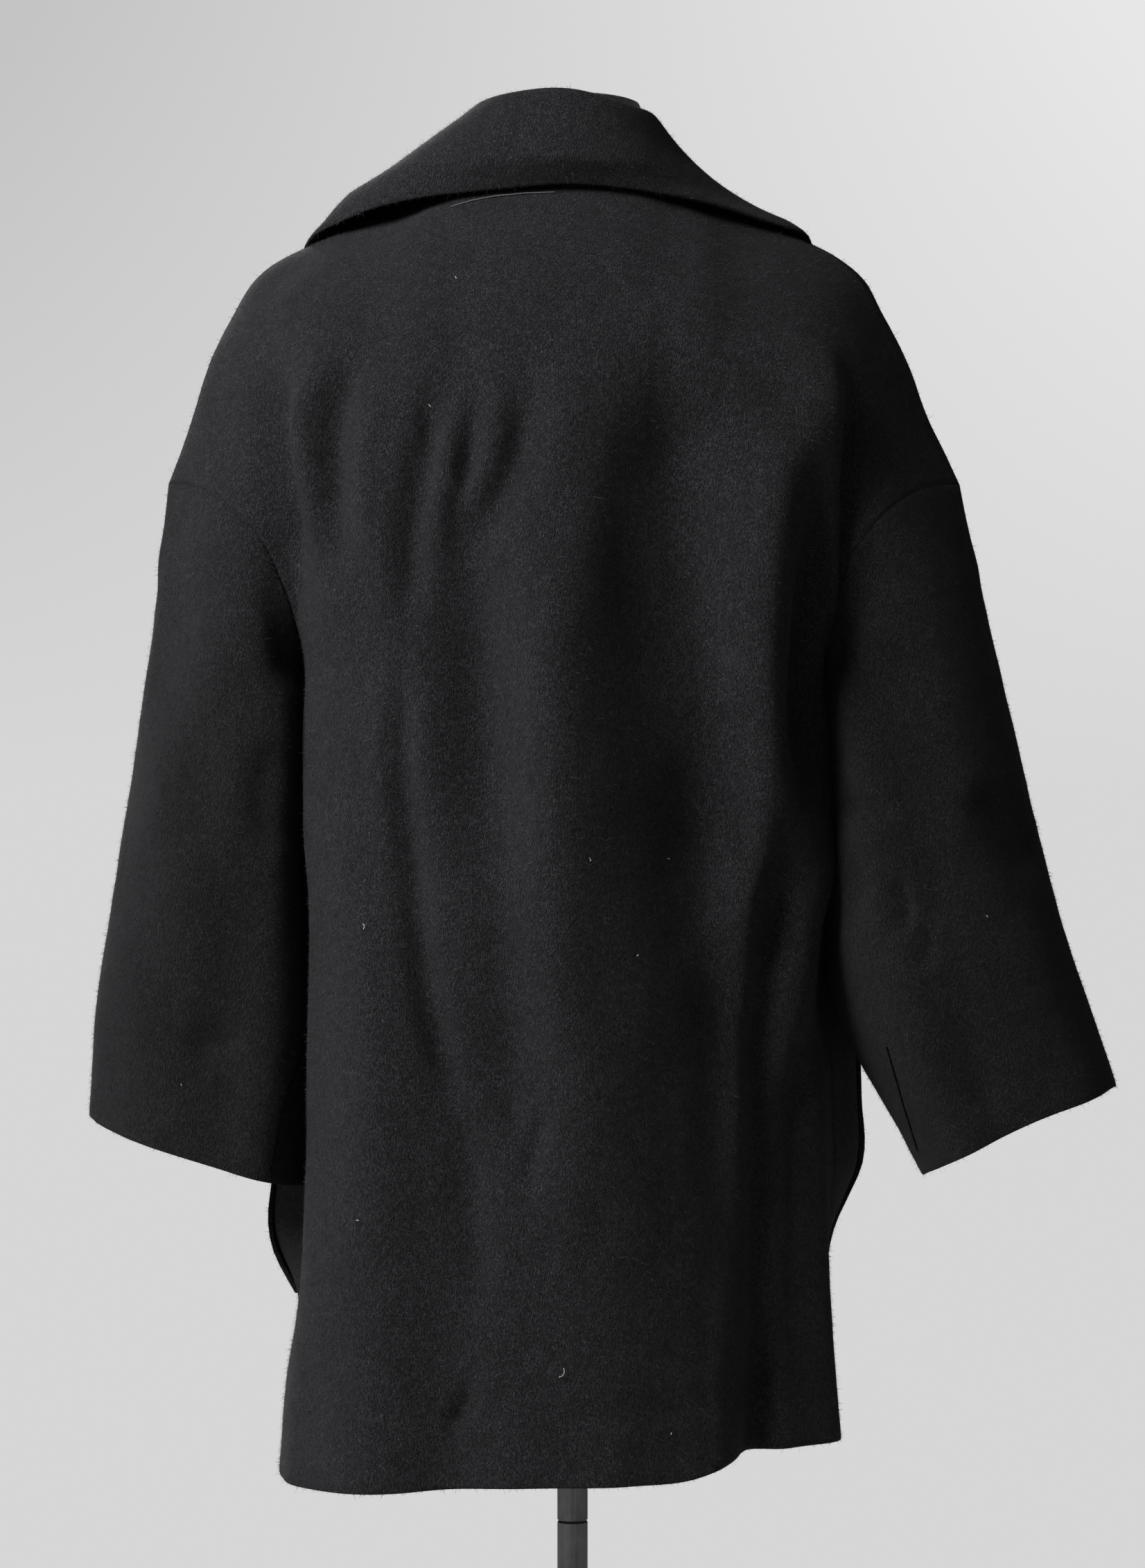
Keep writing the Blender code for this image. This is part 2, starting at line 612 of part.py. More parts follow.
def pocket_object(name, panel, outer, normals, material):
    """A patch pocket made from its front's own points, moved out."""
    first, last = POCKET_COLUMNS
    columns = slice(first, last + 1)
    if panel.name == "front_left":
        columns = slice(RIDGE_COLUMNS - last, RIDGE_COLUMNS - first + 1)
    rows = slice(POCKET_ROWS[0], POCKET_ROWS[1] + 1)
    under, out = outer[rows, columns], normals[rows, columns]
    up = np.linspace(0.0, 1.0, under.shape[0])[:, None, None]
    across = np.linspace(0.0, 1.0, under.shape[1])[None, :, None]
    gape = 0.0030 * up**2 * np.sin(math.pi * across)
    inner = under + out * (SEAM_GAP + gape)
    return cloth_object(name, inner + out * WALL, inner, False, material)


def form_rings():
    """The dress form's sections from its floor to the top of its neck."""
    sections = list(FORM_TRUNK)
    for across in FORM_SEAT_ACROSS:
        ahead, behind = (read(SHOULDER_RIDGE, "height", "across", across + d) for d in (0.002, -0.002))
        slope = (ahead - behind) / 0.004
        under = (WALL + SEAT_GAP) * math.hypot(1.0, slope)
        height = float(read(SHOULDER_RIDGE, "height", "across", across)) - under
        sections.append(FormSection(height, across, *FORM_SEAT))
    return sections + list(FORM_NECK)


def form_object(material):
    """The dress form's body, lofted through its sections and closed at both ends."""
    turn = np.linspace(0.0, 2 * math.pi, FORM_SIDES + 1)
    sections = form_rings()
    bm = bmesh.new()
    bmesh.ops.create_grid(bm, x_segments=FORM_SIDES, y_segments=len(sections) - 1, size=0.5)
    for vert in bm.verts:
        section = sections[round((vert.co.y + 0.5) * (len(sections) - 1))]
        angle = turn[round((vert.co.x + 0.5) * FORM_SIDES)]
        bend = [math.copysign(abs(f(angle)) ** (2 / section.squareness), f(angle)) for f in (math.cos, math.sin)]
        vert.co = (section.half_width * bend[0], section.half_depth * bend[1], section.height)
    bmesh.ops.remove_doubles(bm, verts=bm.verts, dist=1e-5)
    bmesh.ops.holes_fill(bm, edges=[edge for edge in bm.edges if edge.is_boundary], sides=0)
    bmesh.ops.recalc_face_normals(bm, faces=bm.faces[:])
    return finish("form_body", bm, material)


def turned_object(name, radius, low, high, bevel, sides, across, material):
    """A round bar or plate between two heights, with a rounded rim if bevel is given."""
    bm = bmesh.new()
    bmesh.ops.create_cone(bm, cap_ends=True, segments=sides, radius1=radius, radius2=radius, depth=high - low)
    bmesh.ops.translate(bm, verts=bm.verts, vec=(across - CENTRE_X, 0.0, (low + high) / 2))
    piece = finish(name, bm, material)
    if bevel:
        rim = piece.modifiers.new("rim", "BEVEL")
        rim.width = bevel
        rim.segments = 2
        rim.limit_method = "ANGLE"
        rim.angle_limit = math.radians(50)
    return piece


def make_material(name, colour, roughness, metallic=0.0):
    material = bpy.data.materials.new(name)
    material.use_nodes = True
    shader = material.node_tree.nodes["Principled BSDF"]
    shader.inputs["Base Color"].default_value = (*colour, 1.0)
    shader.inputs["Roughness"].default_value = roughness
    shader.inputs["Metallic"].default_value = metallic
    return material


def build():
    for old in list(bpy.data.objects):
        bpy.data.objects.remove(old)
    bpy.context.scene.collection.children.link(bpy.data.collections.new(OBJECT_NAME))
    wool = make_material("black_wool", (0.012, 0.012, 0.015), 0.95)
    jersey = make_material("form_jersey", (0.55, 0.53, 0.50), 0.90)
    steel = make_material("brushed_steel", (0.42, 0.45, 0.50), 0.35, 1.0)
    plate = make_material("base_plate", (0.08, 0.08, 0.085), 0.45, 0.6)

    panels = body_panels() + [sleeve_panel("sleeve_left", 1), sleeve_panel("sleeve_right", -1)]
    groups = seam_groups(panels)
    normals = [normals_of(panel) for panel in panels]
    share(normals, groups, 0.5)
    moves = []
    for panel, normal in zip(panels, normals):
        depth = 0.0 if panel.girth is None else fold_depth(panel.girth, panel.grid[..., 2])[..., None]
        moves.append(normal * depth)
    share(moves, groups, None)
    panels = [panel._replace(grid=panel.grid + move) for panel, move in zip(panels, moves)]
    normals = [normals_of(panel) for panel in panels]
    share(normals, groups, 0.5)
    for panel, normal in zip(panels, normals):
        outer = pull_in(panel, normal)
        cloth_object(panel.name, outer, outer - normal * WALL, panel.closed, wool)

    for name, index in (("pocket_left", 1), ("pocket_right", 2)):
        pocket_object(name, panels[index], panels[index].grid, normals[index], wool)

    collar = collar_panel(panels[:3])
    out = normals_of(collar)
    cloth_object("collar", collar.grid + out * COLLAR_WALL / 2, collar.grid - out * COLLAR_WALL / 2, False, wool)

    form_object(jersey)
    turned_object(
        "form_neck_cap", NECK_RADIUS, NECK_TOP_Z + SEAM_GAP, NECK_TOP_Z + SEAM_GAP + CAP_THICKNESS,
        0.0025, 40, CENTRE_X, steel,
    )
    turned_object("pole_upper", POLE_RADIUS, POLE_JOINT_Z + SEAM_GAP, FORM_FLOOR_Z - SEAM_GAP, 0, 24, 0.0, steel)
    turned_object("pole_lower", POLE_RADIUS, BASE_THICKNESS + SEAM_GAP, POLE_JOINT_Z, 0, 24, 0.0, steel)
    turned_object("base", BASE_RADIUS, 0.0, BASE_THICKNESS, 0.003, 48, 0.0, plate)


build()
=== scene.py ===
"""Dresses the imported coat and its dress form.

Shells of brushed wool with their creases, the wool's nap, the sewing, and the form with its pole and
base, on a pale studio stage.
"""

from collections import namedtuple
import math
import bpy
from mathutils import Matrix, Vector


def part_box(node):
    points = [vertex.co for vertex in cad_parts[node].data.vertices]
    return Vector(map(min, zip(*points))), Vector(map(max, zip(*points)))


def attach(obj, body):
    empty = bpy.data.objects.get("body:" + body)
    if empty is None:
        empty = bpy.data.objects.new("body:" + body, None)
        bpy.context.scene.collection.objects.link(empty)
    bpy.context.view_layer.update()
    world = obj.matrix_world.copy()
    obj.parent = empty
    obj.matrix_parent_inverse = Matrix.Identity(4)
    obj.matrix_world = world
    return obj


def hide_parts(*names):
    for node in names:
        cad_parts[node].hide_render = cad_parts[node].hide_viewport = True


bl_info = {
    "name": "Short coat on a dress form",
    "version": (1, 0, 0),
    "blender": (4, 5, 0),
    "location": "View3D > Sidebar > Coat",
    "description": "Models a black brushed-wool coat and its dress form around the packed part",
    "category": "Object",
}

import bmesh
import bpy
from mathutils import Vector, noise
from mathutils.bvhtree import BVHTree
from mathutils.kdtree import KDTree
import numpy as np

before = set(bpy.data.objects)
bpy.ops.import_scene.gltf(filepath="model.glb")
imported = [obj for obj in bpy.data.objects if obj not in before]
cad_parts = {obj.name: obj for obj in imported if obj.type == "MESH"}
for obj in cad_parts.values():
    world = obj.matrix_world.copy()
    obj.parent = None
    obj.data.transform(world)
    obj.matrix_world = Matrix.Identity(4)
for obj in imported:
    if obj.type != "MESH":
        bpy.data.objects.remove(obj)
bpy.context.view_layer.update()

BODY_NODES = ("back", "front_left", "front_right", "pocket_left", "pocket_right")
SLEEVE_NODES = ("sleeve_left", "sleeve_right")
CLOTH_NODES = BODY_NODES + SLEEVE_NODES + ("collar",)

# The body's middle and half sizes, for the ways its cloth faces, and how that turns up over the shoulders.
CENTRE_X = 0.008
CENTRE_Y = 0.005
HALF_WIDTH = 0.175
HALF_DEPTH = 0.150
SHOULDER_HEIGHTS = (1.20, 1.42)
SHOULDER_RISE = 1.3

# Points of one node this near are the same point, and points of two pieces this near are sewn or held.
SAME_POINT = 2e-5
SEAM_REACH = 0.0013
HOLD_REACH = SEAM_REACH * 1.6
FLAT_ANGLE = math.radians(45)
SQUARE_ANGLE = math.radians(70)
RIM_ANGLE = math.radians(50)
SIZE_PASSES = 3
SIZE_SHARE = 0.85

# How a shell is made, by the first word of its node's name: how finely it is smoothed, how sharp its free
# edges stay, and how it is evened out: how often, by what share, and the height above which by a half.
Shell = namedtuple("Shell", "levels free_crease passes share above")
SHELLS = {
    "back": Shell(2, 0.45, 48, 0.16, 1.18),
    "front": Shell(2, 0.45, 4, 0.30, 2.0),
    "pocket": Shell(2, 0.60, 4, 0.30, 2.0),
    "sleeve": Shell(3, 0.45, 16, 0.50, 2.0),
    "collar": Shell(2, 0.00, 16, 0.50, 2.0),
    "form": Shell(2, 0.70, 16, 0.50, 2.0),
}
FULL_SHARE = 0.5
RIM_FADE = 0.5
SHARE_FADE = (-0.06, 0.02)

# Creases: the width from which they are broad, their reach in widths, how they run out at an end, the bank
# that they throw up beside them, and the height below which they run on to the hem.
BROAD_CREASE = 0.02
CREASE_REACH = 3.2
RUN_OUT = 0.06
BROAD_RUN_OUT = 0.11
RUN_OUT_SHARE = 0.3
BANK = 0.3
BROAD_BANK = 0.1
LINE_STEPS = 12
HEM_REACH = 0.565

# Where a crease moves the back straight in: the share of its way across that is left, and where that ends.
STRAIGHT_SHARE = 0.3
STRAIGHT_ENDS = (0.14, 0.19)

# The cloth's soft unevenness: layers with their share, their fineness across and up, and their shift.
Rumple = namedtuple("Rumple", "share across up shift_x shift_y")
RUMPLES = (Rumple(1.0, 15, 5, 0, 0), Rumple(0.45, 34, 15, 5, 0), Rumple(0.16, 90, 60, 0, 9))

# A crease has its width, its depth (below zero for a ridge) and the points it runs through, across and up.
Crease = namedtuple("Crease", "width depth points")
BACK_CREASES = (
    Crease(0.012, 0.0080, ((0.197, 1.285), (0.198, 1.228), (0.175, 1.135))),
    Crease(0.009, -0.0030, ((0.175, 1.270), (0.175, 1.206), (0.164, 1.138))),
    Crease(0.010, 0.0065, ((0.138, 1.297), (0.157, 1.228), (0.152, 1.140))),
    Crease(0.010, -0.0030, ((0.127, 1.270), (0.133, 1.198), (0.133, 1.121))),
    Crease(0.009, 0.0060, ((0.085, 1.275), (0.101, 1.181), (0.107, 1.085))),
    Crease(0.008, 0.0045, ((0.108, 1.090), (0.109, 1.005), (0.093, 0.866), (0.070, 0.775))),
    Crease(0.010, 0.0030, ((0.072, 0.800), (0.064, 0.730), (0.060, 0.655))),
    Crease(0.006, -0.0030, ((0.075, 1.249), (0.082, 1.198), (0.093, 1.147))),
    Crease(0.006, 0.0025, ((0.060, 1.262), (0.064, 1.224), (0.074, 1.179))),
    Crease(0.012, 0.0042, ((0.027, 1.290), (0.034, 1.213), (0.076, 1.135))),
    Crease(0.007, -0.0025, ((0.045, 1.259), (0.049, 1.213), (0.073, 1.162))),
    Crease(0.022, 0.0090, ((0.067, 1.140), (0.051, 1.028), (0.044, 0.930), (0.041, 0.840), (0.044, 0.730))),
    Crease(0.024, -0.0060, ((0.020, 1.198), (0.013, 1.045), (0.011, 0.909), (-0.003, 0.790), (0.012, 0.636))),
    Crease(0.034, 0.0125, (
        (-0.060, 1.310), (-0.080, 1.155), (-0.093, 1.045), (-0.097, 0.960), (-0.093, 0.860),
    )),
    Crease(0.034, 0.0060, ((-0.066, 1.300), (-0.081, 1.180), (-0.091, 1.080), (-0.094, 1.010))),
    Crease(0.014, 0.0018, ((-0.020, 1.206), (-0.029, 1.155), (-0.037, 1.096))),
    Crease(0.016, -0.0060, (
        (-0.138, 1.253), (-0.132, 1.113), (-0.140, 1.011), (-0.157, 0.943), (-0.152, 0.892),
    )),
    Crease(0.006, 0.0022, ((-0.114, 0.998), (-0.118, 0.966), (-0.122, 0.934))),
    Crease(0.010, 0.0075, ((-0.180, 1.280), (-0.176, 1.180), (-0.178, 1.080))),
    Crease(0.042, 0.0190, ((-0.094, 1.080), (-0.100, 0.900), (-0.112, 0.720), (-0.120, 0.556))),
    Crease(0.024, 0.0085, ((-0.118, 0.940), (-0.122, 0.840), (-0.122, 0.700), (-0.121, 0.556))),
    Crease(0.022, 0.0090, ((-0.092, 0.960), (-0.090, 0.820), (-0.090, 0.680), (-0.089, 0.556))),
    Crease(0.016, 0.0025, ((-0.105, 0.910), (-0.107, 0.858), (-0.111, 0.773), (-0.116, 0.645))),
    Crease(0.016, -0.0100, ((-0.162, 1.300), (-0.165, 1.190), (-0.165, 1.090), (-0.161, 1.000))),
    Crease(0.036, 0.0160, ((-0.162, 0.880), (-0.165, 0.720), (-0.168, 0.556))),
    Crease(0.015, 0.0042, ((-0.200, 1.035), (-0.172, 0.985), (-0.147, 0.930), (-0.114, 0.866))),
    Crease(0.014, 0.0030, ((-0.104, 0.900), (-0.103, 0.807), (-0.107, 0.687), (-0.110, 0.556))),
    Crease(0.007, 0.0012, ((0.175, 0.601), (0.080, 0.594), (-0.060, 0.597), (-0.170, 0.612))),
    Crease(0.021, -0.0045, ((-0.080, 1.420), (-0.079, 1.330), (-0.080, 1.210))),
    Crease(0.021, -0.0045, ((0.096, 1.420), (0.095, 1.330), (0.096, 1.230))),
    Crease(0.016, -0.0040, ((-0.128, 0.841), (-0.127, 0.730), (-0.131, 0.602))),
    Crease(0.024, -0.0030, ((0.133, 0.977), (0.124, 0.815), (0.133, 0.687))),
    Crease(0.005, 0.0030, ((0.014, 0.794), (0.022, 0.773), (0.030, 0.740))),
    Crease(0.005, 0.0025, ((0.045, 0.800), (0.037, 0.783), (0.031, 0.766))),
    Crease(0.006, 0.0035, ((0.083, 0.579), (0.072, 0.597), (0.060, 0.615))),
    Crease(0.005, 0.0020, ((0.037, 0.616), (0.018, 0.612), (-0.001, 0.616))),
    Crease(0.007, 0.0020, ((0.045, 0.683), (0.022, 0.694), (0.005, 0.703))),
)
FRONT_CREASES = (
    Crease(0.014, 0.0060, ((0.150, 1.240), (0.135, 1.140), (0.120, 1.040))),
    Crease(0.016, 0.0060, ((0.105, 1.100), (0.112, 0.960), (0.100, 0.800))),
    Crease(0.014, 0.0050, ((0.060, 0.950), (0.075, 0.820), (0.070, 0.680))),
    Crease(0.013, 0.0045, ((0.030, 0.720), (0.040, 0.640), (0.034, 0.552))),
    Crease(0.014, 0.0060, ((-0.140, 1.250), (-0.120, 1.150), (-0.118, 1.020))),
    Crease(0.016, 0.0060, ((-0.095, 1.050), (-0.085, 0.920), (-0.098, 0.780))),
    Crease(0.014, 0.0050, ((-0.050, 0.880), (-0.062, 0.760), (-0.050, 0.620))),
    Crease(0.015, 0.0045, ((-0.010, 0.760), (-0.004, 0.660), (-0.012, 0.552))),
    Crease(0.011, 0.0045, ((-0.020, 0.945), (-0.060, 0.925), (-0.110, 0.915))),
    Crease(0.010, 0.0035, ((-0.018, 0.920), (-0.050, 0.885), (-0.080, 0.868))),
    Crease(0.011, 0.0040, ((0.045, 0.960), (0.075, 0.940), (0.110, 0.935))),
    Crease(0.007, 0.0012, ((0.175, 0.601), (0.060, 0.592), (-0.060, 0.592), (-0.170, 0.608))),
)
SLEEVE_BACK_CREASES = (
    Crease(0.009, 0.0030, ((-0.170, 0.985), (-0.188, 0.984), (-0.210, 0.976))),
    Crease(0.007, 0.0040, ((-0.208, 0.941), (-0.215, 0.920), (-0.216, 0.898))),
    Crease(0.007, 0.0030, ((-0.227, 0.909), (-0.231, 0.893), (-0.226, 0.876))),
    Crease(0.016, 0.0040, ((-0.259, 1.001), (-0.286, 0.974), (-0.319, 0.936))),
    Crease(0.014, 0.0050, ((-0.189, 1.152), (-0.181, 1.109), (-0.178, 1.060))),
    Crease(0.015, 0.0030, ((-0.240, 0.850), (-0.262, 0.810), (-0.270, 0.770))),
    Crease(0.014, 0.0060, ((0.201, 1.152), (0.187, 1.109), (0.185, 1.055))),
    Crease(0.018, 0.0030, ((0.255, 1.142), (0.263, 1.077), (0.269, 1.012))),
    Crease(0.012, 0.0030, ((0.217, 0.822), (0.233, 0.830), (0.255, 0.822))),
    Crease(0.014, 0.0040, ((0.198, 1.033), (0.201, 0.990), (0.193, 0.947))),
    Crease(0.020, 0.0030, ((0.282, 0.979), (0.286, 0.909), (0.278, 0.844))),
)
SLEEVE_FRONT_CREASES = (
    Crease(0.014, 0.0060, ((0.205, 1.130), (0.215, 1.060), (0.240, 0.990))),
    Crease(0.011, 0.0045, ((0.235, 0.960), (0.262, 0.930), (0.290, 0.920))),
    Crease(0.014, 0.0040, ((0.225, 0.900), (0.250, 0.850), (0.256, 0.790))),
    Crease(0.014, 0.0060, ((-0.195, 1.130), (-0.215, 1.050), (-0.250, 0.985))),
    Crease(0.011, 0.0045, ((-0.215, 0.960), (-0.255, 0.945), (-0.300, 0.930))),
    Crease(0.014, 0.0040, ((-0.265, 0.890), (-0.290, 0.840), (-0.300, 0.790))),
)

# A side of the body swells out to its sleeve: its side, its place up and back, its reach and its height.
Swell = namedtuple("Swell", "side up back reach height")
SIDE_SWELLS = (Swell(-1, 0.990, 0.050, 0.075, 0.0140), Swell(1, 1.000, 0.058, 0.060, 0.0065))
SWELL_DEPTH = 0.035
SWELL_STARTS = (0.13, 0.17)

# How far the collar's fall is pressed to the back, at places across it from its right end to its left.
FALL_PLACES = (-0.16, -0.13, -0.10, -0.06, -0.02, 0.02, 0.06, 0.10, 0.13)
FALL_PRESS = (0.0035, 0.0060, 0.0080, 0.0085, 0.0115, 0.0140, 0.0105, 0.0110, 0.0065)
# The start of the collar's rumples, without which they would differ from run to run.
COLLAR_START = 1795705469
# The height of the collar's roll, and how far the fall's middle, the roll and the left corner are raised.
ROLL_Z = 1.412
FALL_LIFT = 0.004
ROLL_LIFT = 0.0055
CORNER_X = 0.152
CORNER_LIFT = 0.007

# How far a sleeve's back fills out beside the body below the underarm, and how the right one is drawn clear.
SLEEVE_FULLNESS = 0.013
UNDERARM = 1.10
SLEEVE_DRAW = 0.004
DRAW_HEIGHT = 0.99
DRAW_REACH = 0.06

# The middle of each sleeve at its armhole and at its cuff.
SleeveAxis = namedtuple("SleeveAxis", "top_x top_y top_z cuff_x cuff_y cuff_z")
SLEEVE_AXES = {
    "sleeve_left": SleeveAxis(0.226, 0.012, 1.130, 0.2515, 0.022, 0.755),
    "sleeve_right": SleeveAxis(-0.210, 0.012, 1.130, -0.3005, 0.020, 0.766),
}

# The stretch of each sleeve's inseam that shows, from its upper to its lower end, across and up.
INSEAMS = (
    ("sleeve_left", ((0.1745, 0.833), (0.1840, 0.8105), (0.1925, 0.781), (0.1975, 0.7555), (0.1995, 0.7440))),
    ("sleeve_right", ((-0.208, 0.826), (-0.219, 0.790), (-0.231, 0.755))),
)
STITCH_LENGTH = 0.0030
STITCH_PITCH = 0.0062
STITCH_RISE = (-0.0002, 0.0006, 0.0009, 0.0006, -0.0002)
# Painted seam shadow: how far the black tube along each inseam lies off the cloth, and how thick it is.
SEAM_SHADOW_LIFT = 0.0002
SEAM_SHADOW_RADIUS = 0.0007
THREAD_RADIUS = 0.0003

# A pale line that lies under the collar's fall, across and up.
NECK_LINE = ((0.080, 1.381), (0.066, 1.3845), (0.050, 1.387), (0.032, 1.3885), (0.012, 1.389))
NECK_LINE_LIFT = 0.0012

# Pieces of lint: the piece they lie on, their place across and up, their length and the way they lie.
Lint = namedtuple("Lint", "node across up length turn")
LINT = (
    Lint("back", 0.0752, 1.3280, 0.0020, 0.5), Lint("back", 0.0921, 1.2445, 0.0024, 0.9),
    Lint("back", 0.1339, 0.9060, 0.0040, 0.1), Lint("back", -0.0102, 0.9508, 0.0022, 0.3),
    Lint("back", -0.0614, 0.9508, 0.0018, 1.2), Lint("back", -0.0400, 0.8894, 0.0016, -0.6),
    Lint("back", 0.1366, 0.7190, 0.0018, 1.4), Lint("back", -0.0623, 0.5800, 0.0018, -0.3),
    Lint("back", 0.0080, 0.6202, 0.0070, -0.4), Lint("sleeve_left", 0.2576, 0.8010, 0.0016, 0.4),
    Lint("sleeve_right", -0.2726, 0.9120, 0.0016, 0.8),
)

LINT_BENDS = (-0.7, -0.25, 0.25, 0.7)
LINT_LIFT = 0.0022
LINT_RADIUS = 0.00022

# Triangles of nap on each piece.
NAP_COUNTS = {
    "back": 190000, "front_left": 84000, "front_right": 84000, "sleeve_left": 78000, "sleeve_right": 78000,
    "collar": 76000, "pocket_left": 14000, "pocket_right": 14000,
}

# How the nap lies and differs from fibre to fibre: its length's spread and limits, its lift in degrees, and
# its shades with their share of the fibres. Between the two heights a sleeve's wool and nap darken from the
# body's tone to the sleeve's painted shade, which stands for the light falling off away from the coat's
# middle.
NAP_LIE = (0.0, 0.0, -0.7)
NAP_SPREAD = 1.0
NAP_LENGTH_SPREAD = 0.5
NAP_LENGTH_LIMITS = (0.4, 3.2)
NAP_LIFT = (6.0, 42.0)
NAP_ROOT = 0.0003
NAP_SHADES = (("dark", 0.25), ("grey", 0.9), ("pale", 2.1))
NAP_SHADE_SHARES = (0.44, 0.40, 0.16)
SLEEVE_SHADE_HEIGHTS = (1.02, 1.22)

# The ways the fibres lie in the wool's own grain: their turn and how fine they are along each axis.
FIBRE_LAYS = (
    ((0.10, 0.05, 0.2), (1300, 1300, 480)),
    ((-0.5, 0.55, 0.9), (1250, 1250, 460)),
    ((0.6, -0.75, 2.0), (1200, 1200, 500)),
)

# The eased rims of the round plates: how wide, how high, and how far in at their middle.
Rim = namedtuple("Rim", "width height middle")
CAP_RIMS = (Rim(0.002, 0.002, 0.0006), Rim(0.0028, 0.0025, 0.0008))
BASE_RIMS = (Rim(0.003, 0.003, 0.0008), Rim(0.003, 0.003, 0.0009))
POLE_LIP = 0.0008

# The floor's profile, and the lamps with their place, aim, size and share of the main light.
FLOOR_ROWS = ((0.0, 0.0), (2.15, 0.0), (2.2, -0.004), (2.2, -0.02), (0.0, -0.02))
Lamp = namedtuple("Lamp", "name place aim size share")
LAMPS = (
    Lamp("key", (1.8, 1.7, 2.6), (0.0, 0.1, 1.1), 1.5, 1.0),
    Lamp("front_fill", (0.9, -3.0, 2.3), (0.0, 0.0, 1.0), 2.0, 1.2),
)
FLOOR_GLOW_SHARE = 0.65
BACKDROP_REACH = 0.16
CORNER_REACH = 0.023

# Cut sizes of the sewn pieces, with the cut's own area.
Cut = namedtuple("Cut", "width length area held rests_on")
CUTS = {
    "back": Cut(0.64, 0.89, 0.46, "hung", ("form_body",)),
    "front_left": Cut(0.36, 0.89, 0.24, "hung", ("form_body",)),
    "front_right": Cut(0.36, 0.89, 0.24, "hung", ("form_body",)),
    "sleeve_left": Cut(0.44, 0.42, 0.16, "hung", ("coat_back",)),
    "sleeve_right": Cut(0.44, 0.42, 0.16, "hung", ("coat_back",)),
    "collar": Cut(1.40, 0.17, 0.135, "folded", ("coat_back",)),
    "pocket_left": Cut(0.17, 0.20, 0.034, "laid", ("coat_front_left",)),
    "pocket_right": Cut(0.17, 0.20, 0.034, "laid", ("coat_front_right",)),
}


class CoatSettings(bpy.types.PropertyGroup):
    """Sizes and colours of the coat."""

    wool_dark: bpy.props.FloatVectorProperty(
        name="Wool ground", description="Colour between the wool's fibres", subtype="COLOR", size=3,
        default=(0.0040, 0.0039, 0.0048), min=0, max=1,
    )
    wool_light: bpy.props.FloatVectorProperty(
        name="Wool fibres", description="Colour of the fibres that catch the light", subtype="COLOR", size=3,
        default=(0.034, 0.033, 0.037), min=0, max=1,
    )
    # Painted shade: below the armholes the sleeves' wool and nap darken to this share, for the light falling
    # off.
    sleeve_painted_shade: bpy.props.FloatProperty(
        name="Sleeve shade", description="Tone of the sleeves, whose nap lies the other way",
        default=0.57, min=0, max=1,
    )
    sheen: bpy.props.FloatProperty(
        name="Sheen", description="Soft light along the nap", default=0.04, min=0, max=1,
    )
    crease_scale: bpy.props.FloatProperty(
        name="Crease depth", description="How deep the creases are, against their own sizes",
        default=1.3, min=0, max=2,
    )
    rumple: bpy.props.FloatProperty(
        name="Rumple", description="Height of the cloth's soft unevenness",
        default=0.0022, min=0, max=0.01, unit="LENGTH",
    )
    nap_length: bpy.props.FloatProperty(
        name="Nap length", description="Usual length of a fibre",
        default=0.0023, min=0.001, max=0.02, unit="LENGTH",
    )
    nap_width: bpy.props.FloatProperty(
        name="Nap width", description="Width of a fibre at its root",
        default=0.00024, min=0.0001, max=0.002, unit="LENGTH",
    )
    thread_colour: bpy.props.FloatVectorProperty(
        name="Thread", description="Colour of the sewing thread", subtype="COLOR", size=3,
        default=(0.010, 0.010, 0.012), min=0, max=1,
    )
    # The pale line laid on the back under the collar's fall: its colour.
    pale_neck_line_colour: bpy.props.FloatVectorProperty(
        name="Neck thread", description="Colour of the thread under the collar", subtype="COLOR", size=3,
        default=(0.13, 0.13, 0.135), min=0, max=1,
    )
    lint_colour: bpy.props.FloatVectorProperty(
        name="Lint", description="Colour of the lint on the wool", subtype="COLOR", size=3,
        default=(0.55, 0.54, 0.52), min=0, max=1,
    )


class StandSettings(bpy.types.PropertyGroup):
    """Sizes and colours of the dress form and its stand."""

    steel: bpy.props.FloatVectorProperty(
        name="Pole steel", description="Colour of the dark pole", subtype="COLOR", size=3,
        default=(0.200, 0.198, 0.203), min=0, max=1,
    )
    jersey: bpy.props.FloatVectorProperty(
        name="Jersey", description="Colour of the form's cover", subtype="COLOR", size=3,
        default=(0.50, 0.48, 0.45), min=0, max=1,
    )
    plate: bpy.props.FloatVectorProperty(
        name="Base plate", description="Colour of the base's paint", subtype="COLOR", size=3,
        default=(0.055, 0.055, 0.058), min=0, max=1,
    )
    pole_radius: bpy.props.FloatProperty(
        name="Pole radius", description="Radius of the pole",
        default=0.0103, min=0.005, max=0.03, unit="LENGTH",
    )


